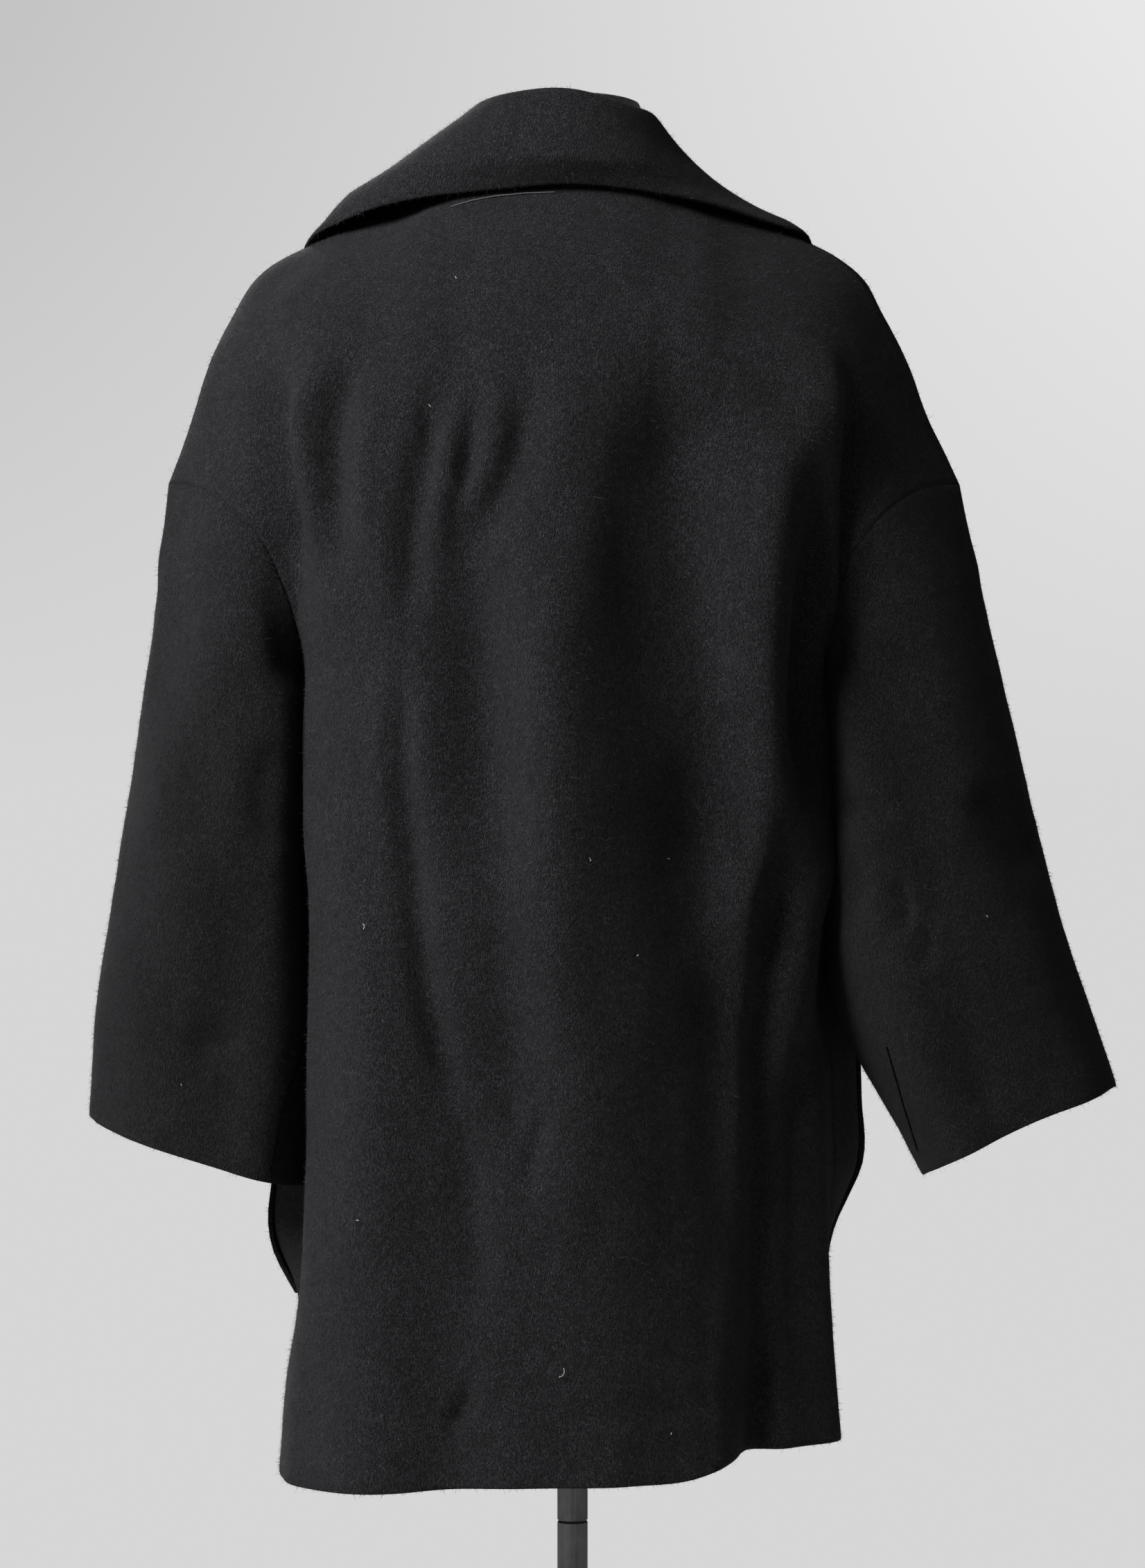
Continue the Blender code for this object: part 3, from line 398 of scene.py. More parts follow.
class StageSettings(bpy.types.PropertyGroup):
    """The studio stage."""

    backdrop: bpy.props.FloatProperty(
        name="Backdrop", description="Brightness behind the part", default=0.675, min=0, max=2,
    )
    backdrop_slope: bpy.props.FloatProperty(
        name="Backdrop slope", description="How much brighter the backdrop grows to its upper right",
        default=0.122, min=0, max=1,
    )
    floor_glow: bpy.props.FloatProperty(
        name="Floor glow", description="Even brightness of the pale floor", default=0.62, min=0, max=2,
    )
    fill: bpy.props.FloatProperty(name="Fill", description="Light from all round", default=0.10, min=0, max=4)
    key: bpy.props.FloatProperty(
        name="Key", description="Strength of the main light", default=120.0, min=0, unit="POWER",
    )
    camera_distance: bpy.props.FloatProperty(
        name="Camera distance", description="From the pole to the camera",
        default=2.8, min=1, max=20, unit="LENGTH",
    )
    camera_height: bpy.props.FloatProperty(
        name="Camera height", description="Height of the camera", default=1.0, min=0, max=3, unit="LENGTH",
    )
    lens: bpy.props.FloatProperty(
        name="Lens", description="Focal length", default=94.77, min=10, max=400, unit="CAMERA",
    )


def coat():
    return bpy.context.scene.coat_settings


def stand():
    return bpy.context.scene.stand_settings


def fade(value, start, end):
    """0 before start, 1 after end, smooth between."""
    t = np.clip((value - start) / (end - start), 0.0, 1.0)
    return t * t * (3 - 2 * t)


def unit(vectors):
    return vectors / np.maximum(np.linalg.norm(vectors, axis=-1, keepdims=True), 1e-9)


def points_of(mesh):
    flat = np.empty(len(mesh.vertices) * 3)
    mesh.vertices.foreach_get("co", flat)
    return flat.reshape(-1, 3)


def set_points(mesh, points):
    mesh.vertices.foreach_set("co", np.ascontiguousarray(points, dtype=np.float32).ravel())
    mesh.update()


def add_piece(name, mesh):
    piece = bpy.data.objects.new(name, mesh)
    bpy.context.scene.collection.objects.link(piece)
    return piece


def flattened(piece):
    """Applies a piece's modifiers to its mesh."""
    graph = bpy.context.evaluated_depsgraph_get()
    mesh = bpy.data.meshes.new_from_object(piece.evaluated_get(graph))
    old = piece.data
    piece.modifiers.clear()
    piece.data = mesh
    mesh.name = piece.name
    bpy.data.meshes.remove(old)
    return mesh


def keep_size(piece):
    """Moves a smoothed cage out so that the smooth surface passes through the cage's first points again."""
    wanted = points_of(piece.data)
    for _ in range(SIZE_PASSES):
        graph = bpy.context.evaluated_depsgraph_get()
        seen = piece.evaluated_get(graph).to_mesh()
        smoothed = points_of(seen)[: len(wanted)]
        set_points(piece.data, points_of(piece.data) + SIZE_SHARE * (wanted - smoothed))
        piece.evaluated_get(graph).to_mesh_clear()
        piece.data.update_tag()
        bpy.context.view_layer.update()


def even_out(mesh, kind):
    """Evens out the marks of the cage's rows in a smoothed shell, away from its rims."""
    rim = np.empty(len(mesh.vertices))
    mesh.attributes["rim"].data.foreach_get("value", rim)
    mesh.attributes.remove(mesh.attributes["rim"])
    ends = np.empty(len(mesh.edges) * 2, np.int32)
    mesh.edges.foreach_get("vertices", ends)
    first, second = ends.reshape(-1, 2).T
    count = np.bincount(ends, minlength=len(rim))[:, None]
    points = points_of(mesh)
    above = fade(points[:, 2], kind.above + SHARE_FADE[0], kind.above + SHARE_FADE[1])
    share = kind.share + (FULL_SHARE - kind.share) * above
    share = (share * (1 - fade(rim, 0.0, RIM_FADE)))[:, None]
    for _ in range(kind.passes):
        total = np.zeros_like(points)
        np.add.at(total, first, points[second])
        np.add.at(total, second, points[first])
        points = points + share * (total / count - points)
    set_points(mesh, points)


def neighbours_of(nodes):
    """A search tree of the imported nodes' own points."""
    points = [v.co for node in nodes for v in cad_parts[node].data.vertices]
    tree = KDTree(len(points))
    for index, point in enumerate(points):
        tree.insert(point, index)
    tree.balance()
    return tree


def group_of(node):
    """The nodes that move with this one when the cloth is creased."""
    for group in (BODY_NODES, SLEEVE_NODES, ("collar",)):
        if node in group:
            return group
    return (node,)


def shell_of(node, name):
    """A smooth walled shell on a node's own form; seams close and keep their edge, free edges round off."""
    kind = SHELLS[node.split("_")[0]]
    bm = bmesh.new()
    bm.from_mesh(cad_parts[node].data)
    bmesh.ops.remove_doubles(bm, verts=bm.verts, dist=SAME_POINT)
    bmesh.ops.join_triangles(
        bm, faces=bm.faces[:], angle_face_threshold=FLAT_ANGLE, angle_shape_threshold=SQUARE_ANGLE,
    )
    sewn_to = neighbours_of([n for n in CLOTH_NODES if n != node and not n.startswith("pocket")])
    other_group = neighbours_of([n for n in CLOTH_NODES if n not in group_of(node)])
    crease = bm.edges.layers.float.get("crease_edge") or bm.edges.layers.float.new("crease_edge")
    hold = bm.verts.layers.float.new("hold")
    rim = bm.verts.layers.float.new("rim")
    drawn = {}
    for edge in bm.edges:
        if len(edge.link_faces) == 2 and edge.calc_face_angle(0) > RIM_ANGLE:
            sewn = all(sewn_to.find(vert.co)[2] < SEAM_REACH for vert in edge.verts)
            edge[crease] = 1.0 if sewn else kind.free_crease
            for vert in edge.verts:
                vert[rim] = 1.0
                if sewn:
                    drawn[vert] = (vert.co + sewn_to.find(vert.co)[0]) / 2
                if other_group.find(vert.co)[2] < HOLD_REACH:
                    vert[hold] = 1.0
    for vert, place in drawn.items():
        vert.co = place
    mesh = bpy.data.meshes.new(name)
    bm.to_mesh(mesh)
    bm.free()
    for stray in ("custom_normal", "sharp_face", "sharp_edge"):
        if stray in mesh.attributes:
            mesh.attributes.remove(mesh.attributes[stray])
    mesh.materials.clear()
    piece = add_piece(name, mesh)
    smooth = piece.modifiers.new("smooth", "SUBSURF")
    smooth.levels = smooth.render_levels = kind.levels
    keep_size(piece)
    flattened(piece)
    even_out(piece.data, kind)
    piece.data.shade_smooth()
    return piece


def crease_line(points):
    """A smooth line through a crease's points, with how far along it each place is."""
    path = np.array(points)
    path = np.vstack([2 * path[0] - path[1], path, 2 * path[-1] - path[-2]])
    t = np.linspace(0.0, 1.0, LINE_STEPS, endpoint=False)[:, None]
    runs = []
    for before, start, end, after in zip(path, path[1:], path[2:], path[3:]):
        bend = 2 * before - 5 * start + 4 * end - after
        runs.append(start + 0.5 * t * (end - before + t * (bend + t * (3 * (start - end) + after - before))))
    line = np.vstack(runs + [path[-2:-1]])
    steps = np.linalg.norm(np.diff(line, axis=0), axis=1)
    return line, np.concatenate([[0.0], np.cumsum(steps)])


def crease_depth(points, creases, mask):
    """How far inwards a table of creases moves each point."""
    across_up = points[:, [0, 2]]
    total = np.zeros(len(points))
    for crease in creases:
        line, along = crease_line(crease.points)
        broad = crease.width >= BROAD_CREASE
        reach = CREASE_REACH * crease.width
        low, high = line.min(axis=0) - reach, line.max(axis=0) + reach
        near = np.nonzero(((across_up > low) & (across_up < high)).all(axis=1) & (mask > 0.01))[0]
        if not len(near):
            continue
        nearest = np.linalg.norm(across_up[near][:, None] - line[None], axis=2).argmin(axis=1)
        way = unit(np.gradient(line, axis=0))[nearest]
        offset = across_up[near] - line[nearest]
        place = np.clip(along[nearest] + (offset * way).sum(axis=1), 0.0, along[-1])
        gap = np.linalg.norm(offset - way * (place - along[nearest])[:, None], axis=1) / crease.width
        run_out = min(RUN_OUT_SHARE * along[-1], BROAD_RUN_OUT if broad else RUN_OUT)
        ends = fade(place, 0.0, run_out)
        if line[-1, 1] > HEM_REACH:
            ends = ends * (1 - fade(place, along[-1] - run_out, along[-1]))
        bank = BROAD_BANK if broad else BANK
        profile = np.exp(-(gap**2)) - bank * np.exp(-((gap - 2.0) ** 2))
        total[near] += crease.depth * ends * profile * mask[near]
    return total * coat().crease_scale


def rumple_of(points):
    """Soft unevenness of hanging wool, longer up and down than across."""
    total = np.zeros(len(points))
    for share, across, up, shift_x, shift_y in RUMPLES:
        total += [
            share * noise.noise(Vector((x * across + shift_x, y * across + shift_y, z * up)))
            for x, y, z in points
        ]
    return total * coat().rumple


def body_outward(points):
    """Outward directions of the body's cloth, turning up over the shoulders."""
    x, y = points[:, 0] - CENTRE_X, points[:, 1] - CENTRE_Y
    flat = unit(np.column_stack([x / HALF_WIDTH**2, y / HALF_DEPTH**2]))
    rise = SHOULDER_RISE * fade(points[:, 2], *SHOULDER_HEIGHTS)
    return unit(np.column_stack([flat, rise]))


def side_swell(points):
    """How far each point of the body's sides moves across towards its sleeve."""
    total = np.zeros(len(points))
    for swell in SIDE_SWELLS:
        there = fade(swell.side * (points[:, 0] - CENTRE_X), *SWELL_STARTS)
        up = (points[:, 2] - swell.up) / swell.reach
        back = (points[:, 1] - swell.back) / SWELL_DEPTH
        total += swell.side * swell.height * there * np.exp(-(up**4) - back**2)
    return total


def both_sides(points, out, back_creases, front_creases, start, end):
    """How far inwards the creases move each point, from the table of the side that it faces."""
    depth = crease_depth(points, back_creases, fade(out[:, 1], start, end))
    return depth + crease_depth(points, front_creases, fade(-out[:, 1], start, end))


def body_move(points):
    """Creases and rumples the body, and swells its sides towards the sleeves."""
    out = body_outward(points)
    depth = both_sides(points, out, BACK_CREASES, FRONT_CREASES, 0.2, 0.5)
    inwards = out.copy()
    aside = fade(np.abs(points[:, 0] - CENTRE_X), *STRAIGHT_ENDS)
    inwards[:, 0] *= STRAIGHT_SHARE + (1 - STRAIGHT_SHARE) * aside
    move = out * rumple_of(points)[:, None] - unit(inwards) * depth[:, None]
    move[:, 0] += side_swell(points)
    return move


def sleeve_outward(points, node):
    """Outward directions of a sleeve's cloth, level, from its axis."""
    axis = SLEEVE_AXES[node]
    t = (axis.top_z - points[:, 2]) / (axis.top_z - axis.cuff_z)
    x = axis.top_x + (axis.cuff_x - axis.top_x) * t
    y = axis.top_y + (axis.cuff_y - axis.top_y) * t
    return np.column_stack([unit(points[:, :2] - np.column_stack([x, y])), np.zeros(len(points))])


def sleeve_move(points, node):
    """Creases a sleeve, fills its back out beside the body, and draws the right one clear of the swell."""
    out = sleeve_outward(points, node)
    depth = both_sides(points, out, SLEEVE_BACK_CREASES, SLEEVE_FRONT_CREASES, 0.0, 0.3)
    move = out * (rumple_of(points) - depth)[:, None]
    inwards = -np.sign(points[:, 0]) * out[:, 0]
    inner = fade(inwards, 0.2, 0.9) * (node == "sleeve_right")
    move[:, 0] -= SLEEVE_DRAW * inner * np.exp(-(((points[:, 2] - DRAW_HEIGHT) / DRAW_REACH) ** 2))
    corner = np.exp(-(((inwards - 0.75) / 0.30) ** 2)) * fade(out[:, 1], 0.0, 0.4)
    move[:, 1] += SLEEVE_FULLNESS * corner * fade(UNDERARM - points[:, 2], 0.0, 0.08)
    return move


def collar_move(points):
    """Rumples the collar, raises its roll over the neck cap, and presses its fall to the back."""
    x, y, z = points.T
    noise.seed_set(COLLAR_START)
    move = np.array([noise.noise_vector(Vector(p) * 13.0) * coat().rumple * 0.8 for p in points])
    fall = fade(y, 0.0, 0.03) * fade(ROLL_Z - z, 0.0, 0.022)
    move[:, 1] -= fall * np.interp(x, FALL_PLACES, FALL_PRESS)
    move[:, 2] += fall * FALL_LIFT * np.exp(-((x / 0.07) ** 2))
    move[:, 2] += ROLL_LIFT * fade(z, 1.405, 1.450) * fade(y, 0.0, 0.05) * np.exp(-((x / 0.05) ** 2))
    move[:, 2] += CORNER_LIFT * fade(z, 1.376, 1.392) * np.exp(-(((x - CORNER_X) / 0.022) ** 2))
    return move


def settle(piece, move):
    """Moves a shell's points by a function of where they are, held along the seams to other pieces."""
    mesh = piece.data
    points = points_of(mesh)
    hold = np.empty(len(points))
    mesh.attributes["hold"].data.foreach_get("value", hold)
    set_points(mesh, points + move(points) * (1 - np.clip(hold, 0, 1))[:, None])
    mesh.attributes.remove(mesh.attributes["hold"])
    mesh.shade_smooth()


def dress(piece, node, material):
    """Puts a finished piece on the part in its node's place."""
    piece.data.materials.clear()
    piece.data.materials.append(material)
    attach(piece, "root")
    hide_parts(node)
    return piece


def declare_cut(piece, node):
    cut = CUTS[node]
    list(cut.rests_on)


def node_tree(name):
    """A new node material: its tree and its shader."""
    material = bpy.data.materials.new(name)
    material.use_nodes = True
    return material, material.node_tree, material.node_tree.nodes["Principled BSDF"]


def feed(tree, node, inputs):
    """Sets a node's inputs to values, or links them from sockets."""
    for key, value in inputs.items():
        if isinstance(value, bpy.types.NodeSocket):
            tree.links.new(value, node.inputs[key])
        else:
            node.inputs[key].default_value = value


def linked(tree, kind, inputs, **settings):
    """A new node with its settings and its inputs."""
    node = tree.nodes.new(kind)
    for key, value in settings.items():
        setattr(node, key, value)
    feed(tree, node, inputs)
    return node


def blend_of(tree, kind, factor, first, second):
    """A colour mix node's result."""
    inputs = {0: factor, 6: first, 7: second}
    return linked(tree, "ShaderNodeMix", inputs, data_type="RGBA", blend_type=kind).outputs[2]


def object_place(tree):
    return tree.nodes.new("ShaderNodeTexCoord").outputs["Object"]


def noise_of(tree, place, scale, detail, roughness=0.5):
    """A noise texture's value."""
    inputs = {"Vector": place, "Scale": scale, "Detail": detail, "Roughness": roughness}
    return linked(tree, "ShaderNodeTexNoise", inputs).outputs["Fac"]


def ranged(tree, value, start, end, low=0.0, high=1.0):
    """A value mapped from start and end to low and high."""
    inputs = {"Value": value, "From Min": start, "From Max": end, "To Min": low, "To Max": high}
    return linked(tree, "ShaderNodeMapRange", inputs).outputs[0]


def worked(tree, operation, first, second, clamp=False):
    """The result of a sum on two values."""
    settings = {"operation": operation, "use_clamp": clamp}
    return linked(tree, "ShaderNodeMath", {0: first, 1: second}, **settings).outputs[0]


def bumped(tree, shader, height, strength, distance):
    """Gives a shader fine relief."""
    bump = linked(tree, "ShaderNodeBump", {"Height": height, "Strength": strength, "Distance": distance})
    feed(tree, shader, {"Normal": bump.outputs[0]})


def scaled(colour, share):
    return (*(c * share for c in colour), 1)


def wool_material(name="black_brushed_wool", share=1.0):
    """Black felted wool: short light fibres lying several ways over a dark ground."""
    found = bpy.data.materials.get(name)
    if found:
        return found
    material, tree, shader = node_tree(name)
    place = object_place(tree)
    fibres = None
    for turn, fineness in FIBRE_LAYS:
        spread = linked(tree, "ShaderNodeMapping", {"Vector": place, "Rotation": turn, "Scale": fineness})
        shaped = ranged(tree, noise_of(tree, spread.outputs[0], 1.0, 1.5, 0.6), 0.48, 0.66)
        fibres = shaped if fibres is None else worked(tree, "MAXIMUM", fibres, shaped)
    tufts = noise_of(tree, place, 170.0, 3.0, 0.65)
    lit = worked(tree, "MULTIPLY", fibres, tufts)
    lit = worked(tree, "MULTIPLY", lit, 1.5, clamp=True)
    ground = blend_of(tree, "MIX", lit, (*coat().wool_dark, 1), (*coat().wool_light, 1))
    shade = ranged(tree, noise_of(tree, place, 26.0, 2.0), 0.3, 0.7, 0.86, 1.14)
    # Painted shade: a sleeve's wool darkens below its armhole, standing for the light falling off to the
    # sides.
    if share < 1.0:
        up = linked(tree, "ShaderNodeSeparateXYZ", {0: place}).outputs[2]
        shade = worked(tree, "MULTIPLY", shade, ranged(tree, up, *SLEEVE_SHADE_HEIGHTS, share, 1.0))
    specks = ranged(tree, noise_of(tree, place, 1900.0, 1.0), 0.36, 0.64, 0.35, 1.65)
    shade = worked(tree, "MULTIPLY", shade, specks)
    tone = linked(tree, "ShaderNodeCombineColor", {0: shade, 1: shade, 2: shade}).outputs[0]
    bumped(tree, shader, worked(tree, "ADD", fibres, tufts), 0.8, 0.0015)
    feed(tree, shader, {
        "Base Color": blend_of(tree, "MULTIPLY", 1.0, ground, tone), "Roughness": 0.95,
        "Specular IOR Level": 0.25, "Sheen Weight": coat().sheen, "Sheen Roughness": 0.45,
        "Sheen Tint": (0.62, 0.62, 0.68, 1),
    })
    return material


def fibre_materials(prefix, whole):
    """Three shades for the fibres of the nap."""
    made = []
    for shade, part in NAP_SHADES:
        material = bpy.data.materials.get(prefix + shade)
        if material is None:
            material, tree, shader = node_tree(prefix + shade)
            feed(tree, shader, {
                "Base Color": scaled(coat().wool_light, part * whole), "Roughness": 0.85,
                "Specular IOR Level": 0.2, "Sheen Weight": coat().sheen,
            })
        made.append(material)
    return made


def outside_of(node, centres, normals):
    """Which faces of a shell are on the coat's outside."""
    if node == "collar":
        return np.ones(len(centres), bool)
    if node in SLEEVE_AXES:
        out = sleeve_outward(centres, node)
    else:
        middle = np.tile((CENTRE_X, 0.01, 0.0), (len(centres), 1))
        middle[:, 2] = np.minimum(centres[:, 2], 1.15)
        out = unit(centres - middle)
    return (out * normals).sum(axis=1) > -0.05


def nap_of(piece, node, name, count, seed):
    """Short fibres over a shell's outside, lying mostly downwards with lifted tips, as one joined mesh."""
    draw = np.random.default_rng(seed)
    mesh = piece.data
    mesh.calc_loop_triangles()
    corners = np.empty(len(mesh.loop_triangles) * 3, np.int32)
    mesh.loop_triangles.foreach_get("vertices", corners)
    triangles = points_of(mesh)[corners.reshape(-1, 3)]
    cross = np.cross(triangles[:, 1] - triangles[:, 0], triangles[:, 2] - triangles[:, 0])
    normals = unit(cross)
    weight = np.linalg.norm(cross, axis=1) * outside_of(node, triangles.mean(axis=1), normals)
    chosen = draw.choice(len(triangles), count, p=weight / weight.sum())
    mix = draw.random((count, 2))
    fold = mix.sum(axis=1) > 1
    mix[fold] = 1 - mix[fold]
    sides = triangles[chosen]
    root = sides[:, 0] + mix[:, :1] * (sides[:, 1] - sides[:, 0]) + mix[:, 1:] * (sides[:, 2] - sides[:, 0])
    normal = normals[chosen]
    lie = np.array(NAP_LIE) + draw.normal(0.0, NAP_SPREAD, (count, 3))
    lie = unit(lie - (lie * normal).sum(axis=1, keepdims=True) * normal)
    length = coat().nap_length * np.clip(draw.lognormal(0.0, NAP_LENGTH_SPREAD, count), *NAP_LENGTH_LIMITS)
    lift = np.radians(draw.uniform(*NAP_LIFT, count))
    tip = root + (lie * np.cos(lift)[:, None] + normal * np.sin(lift)[:, None]) * length[:, None]
    half = np.cross(lie, normal) * coat().nap_width / 2
    start = root - normal * NAP_ROOT
    points = np.stack([start - half, start + half, tip], axis=1).reshape(-1, 3)
    nap = bpy.data.meshes.new(name)
    nap.vertices.add(3 * count)
    nap.vertices.foreach_set("co", points.astype(np.float32).ravel())
    nap.loops.add(3 * count)
    nap.loops.foreach_set("vertex_index", np.arange(3 * count, dtype=np.int32))
    nap.polygons.add(count)
    nap.polygons.foreach_set("loop_start", np.arange(0, 3 * count, 3, dtype=np.int32))
    for material in fibre_materials("nap_", 1.0):
        nap.materials.append(material)
    shade = draw.choice(len(NAP_SHADES), count, p=NAP_SHADE_SHARES)
    # Painted shade: below a height drawn between the two, a sleeve's fibres take the darker shaded set.
    if node in SLEEVE_NODES:
        for material in fibre_materials("sleeve_nap_painted_shade_", coat().sleeve_painted_shade):
            nap.materials.append(material)
        shade = shade + len(NAP_SHADES) * (draw.uniform(*SLEEVE_SHADE_HEIGHTS, count) > root[:, 2])
    nap.polygons.foreach_set("material_index", shade.astype(np.int32))
    nap.update(calc_edges=True)
    fibres = add_piece(name, nap)
    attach(fibres, "root")
    return fibres


def make_cloth(node, move, material):
    """Makes one sewn piece of the coat: its shell, its creases and its wool."""
    piece = shell_of(node, "coat_" + node)
    settle(piece, move)
    dress(piece, node, material)


class COAT_OT_body(bpy.types.Operator):
    """Models the back and the two fronts with their creases."""

    bl_idname = "coat.body"
    bl_label = "Back and fronts"

    def execute(self, context):
        for node in ("back", "front_left", "front_right"):
            make_cloth(node, body_move, wool_material())
        return {"FINISHED"}


class COAT_OT_pockets(bpy.types.Operator):
    """Models the patch pockets on the fronts."""

    bl_idname = "coat.pockets"
    bl_label = "Patch pockets"

    def execute(self, context):
        for node in ("pocket_left", "pocket_right"):
            make_cloth(node, body_move, wool_material())
        return {"FINISHED"}


class COAT_OT_sleeves(bpy.types.Operator):
    """Models the sleeves with their creases."""

    bl_idname = "coat.sleeves"
    bl_label = "Sleeves"

    def execute(self, context):
        # The sleeves' wool carries painted shade that darkens it below the armholes.
        wool = wool_material("black_wool_painted_sleeve_shade", coat().sleeve_painted_shade)
        for node in SLEEVE_NODES:
            make_cloth(node, lambda points, node=node: sleeve_move(points, node), wool)
        return {"FINISHED"}


class COAT_OT_collar(bpy.types.Operator):
    """Models the rolled shawl collar."""

    bl_idname = "coat.collar"
    bl_label = "Shawl collar"

    def execute(self, context):
        make_cloth("collar", collar_move, wool_material())
        return {"FINISHED"}


class COAT_OT_nap(bpy.types.Operator):
    """Covers the coat with the fibres of its brushed nap."""

    bl_idname = "coat.nap"
    bl_label = "Brushed nap"

    def execute(self, context):
        for seed, (node, count) in enumerate(NAP_COUNTS.items(), start=11):
            piece = bpy.data.objects["coat_" + node]
            fibres = nap_of(piece, node, "nap_" + node, count, seed)
            declare_cut(piece, node)
        return {"FINISHED"}


def thread_piece(name, paths, radius, material):
    """Threads laid along paths of points, as one joined mesh."""
    curve = bpy.data.curves.new(name, "CURVE")
    curve.dimensions = "3D"
    curve.bevel_depth = radius
    curve.bevel_resolution = 1
    curve.use_fill_caps = True
    for path in paths:
        spline = curve.splines.new("POLY")
        spline.points.add(len(path) - 1)
        for point, place in zip(spline.points, path):
            point.co = (*place, 1.0)
    holder = add_piece(name, curve)
    mesh = bpy.data.meshes.new_from_object(holder.evaluated_get(bpy.context.evaluated_depsgraph_get()))
    bpy.data.objects.remove(holder)
    bpy.data.curves.remove(curve)
    mesh.shade_smooth()
    mesh.materials.clear()
    mesh.materials.append(material)
    piece = add_piece(name, mesh)
    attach(piece, "root")
    return piece


def seen_from_behind(name):
    """Places on a piece as seen from behind, given across and up, with a lift off the cloth."""
    tree = BVHTree.FromObject(bpy.data.objects[name], bpy.context.evaluated_depsgraph_get())

    def place(across, up, lift):
        point, normal, _, _ = tree.ray_cast(Vector((across, 1.0, up)), Vector((0.0, -1.0, 0.0)))
        if point is None:
            raise RuntimeError(f"{name} has no cloth at {across:.3f}, {up:.3f}")
        return point + normal * lift

    return place


def plain_material(name, colour):
    """A matt thread of one colour."""
    material, tree, shader = node_tree(name)
    feed(tree, shader, {"Base Color": (*colour, 1), "Roughness": 0.9, "Specular IOR Level": 0.05})
    return material


class COAT_OT_sewing(bpy.types.Operator):
    """Stitches the sleeves' inseam near each cuff and draws it as a black line of painted seam shadow, lays
    the pale line under the collar's fall, and lays the lint on the wool.
    """

    bl_idname = "coat.sewing"
    bl_label = "Sewing and lint"

    def execute(self, context):
        seam_shadows, stitches = [], []
        for node, points in INSEAMS:
            place = seen_from_behind("coat_" + node)
            line, along = crease_line(points)
            seam_shadows.append([place(*spot, SEAM_SHADOW_LIFT) for spot in line])
            for middle in np.arange(STITCH_PITCH, along[-1] - STITCH_LENGTH, STITCH_PITCH):
                spots = middle + np.linspace(-0.5, 0.5, len(STITCH_RISE)) * STITCH_LENGTH
                across, up = (np.interp(spots, along, line[:, axis]) for axis in (0, 1))
                stitches.append([place(*spot) for spot in zip(across, up, STITCH_RISE)])
        # Painted shadow: a black tube lies along each inseam where the seam's groove would be in shade.
        seam_shadow = plain_material("seam_shadow", (0.001, 0.001, 0.001))
        thread_piece("inseam_shadow_lines", seam_shadows, SEAM_SHADOW_RADIUS, seam_shadow)
        thread = plain_material("sewing_thread", coat().thread_colour)
        thread_piece("stitches", stitches, THREAD_RADIUS, thread)
        # A pale line laid on the back just under the collar's fall.
        back = seen_from_behind("coat_back")
        arc = [back(across, up, NECK_LINE_LIFT) for across, up in NECK_LINE]
        pale_neck_line = plain_material("pale_neck_line", coat().pale_neck_line_colour)
        thread_piece("pale_neck_line", [arc], THREAD_RADIUS, pale_neck_line)
        lint = [self.lint_path(*row) for row in LINT]
        thread_piece("lint", lint, LINT_RADIUS, plain_material("pale_lint", coat().lint_colour))
        return {"FINISHED"}

    def lint_path(self, node, across, up, length, turn):
        """The bent path of a piece of lint on the wool."""
        place = seen_from_behind("coat_" + node)
        step = length / len(LINT_BENDS)
        steps = [(math.sin(turn + bend) * step, math.cos(turn + bend) * step) for bend in LINT_BENDS]
        spots = np.cumsum([(0.0, 0.0)] + steps, axis=0)
        return [place(across + side, up + rise, LINT_LIFT) for side, rise in spots]


def turned(name, profile, segments, across):
    """A turned piece: a profile of radius and height rows spun round an upright axis."""
    bm = bmesh.new()
    verts = [bm.verts.new((radius, 0.0, height)) for radius, height in profile]
    edges = [bm.edges.new(pair) for pair in zip(verts, verts[1:])]
    bmesh.ops.spin(
        bm, geom=verts + edges, cent=(0, 0, 0), axis=(0, 0, 1), angle=2 * math.pi, steps=segments,
        use_merge=True,
    )
    bmesh.ops.remove_doubles(bm, verts=bm.verts, dist=1e-5)
    bmesh.ops.recalc_face_normals(bm, faces=bm.faces[:])
    bmesh.ops.translate(bm, verts=bm.verts, vec=(across, 0.0, 0.0))
    mesh = bpy.data.meshes.new(name)
    bm.to_mesh(mesh)
    bm.free()
    mesh.shade_smooth()
    mesh.set_sharp_from_angle(angle=math.radians(40))
    return add_piece(name, mesh)


def steel_material():
    """Dark drawn steel with fine upright streaks."""
    material, tree, shader = node_tree("dark_pole_steel")
    place = object_place(tree)
    drawn = linked(tree, "ShaderNodeMapping", {"Vector": place, "Scale": (900.0, 900.0, 14.0)})
    streaks = noise_of(tree, drawn.outputs[0], 1.0, 3.0)
    mixed = worked(tree, "ADD", streaks, noise_of(tree, place, 60.0, 4.0))
    share = ranged(tree, mixed, 0.75, 1.25)
    colour = blend_of(tree, "MIX", share, scaled(stand().steel, 0.75), scaled(stand().steel, 1.35))
    rough = ranged(tree, mixed, 0.7, 1.3, 0.32, 0.50)
    feed(tree, shader, {"Base Color": colour, "Roughness": rough, "Metallic": 1.0})
    return material


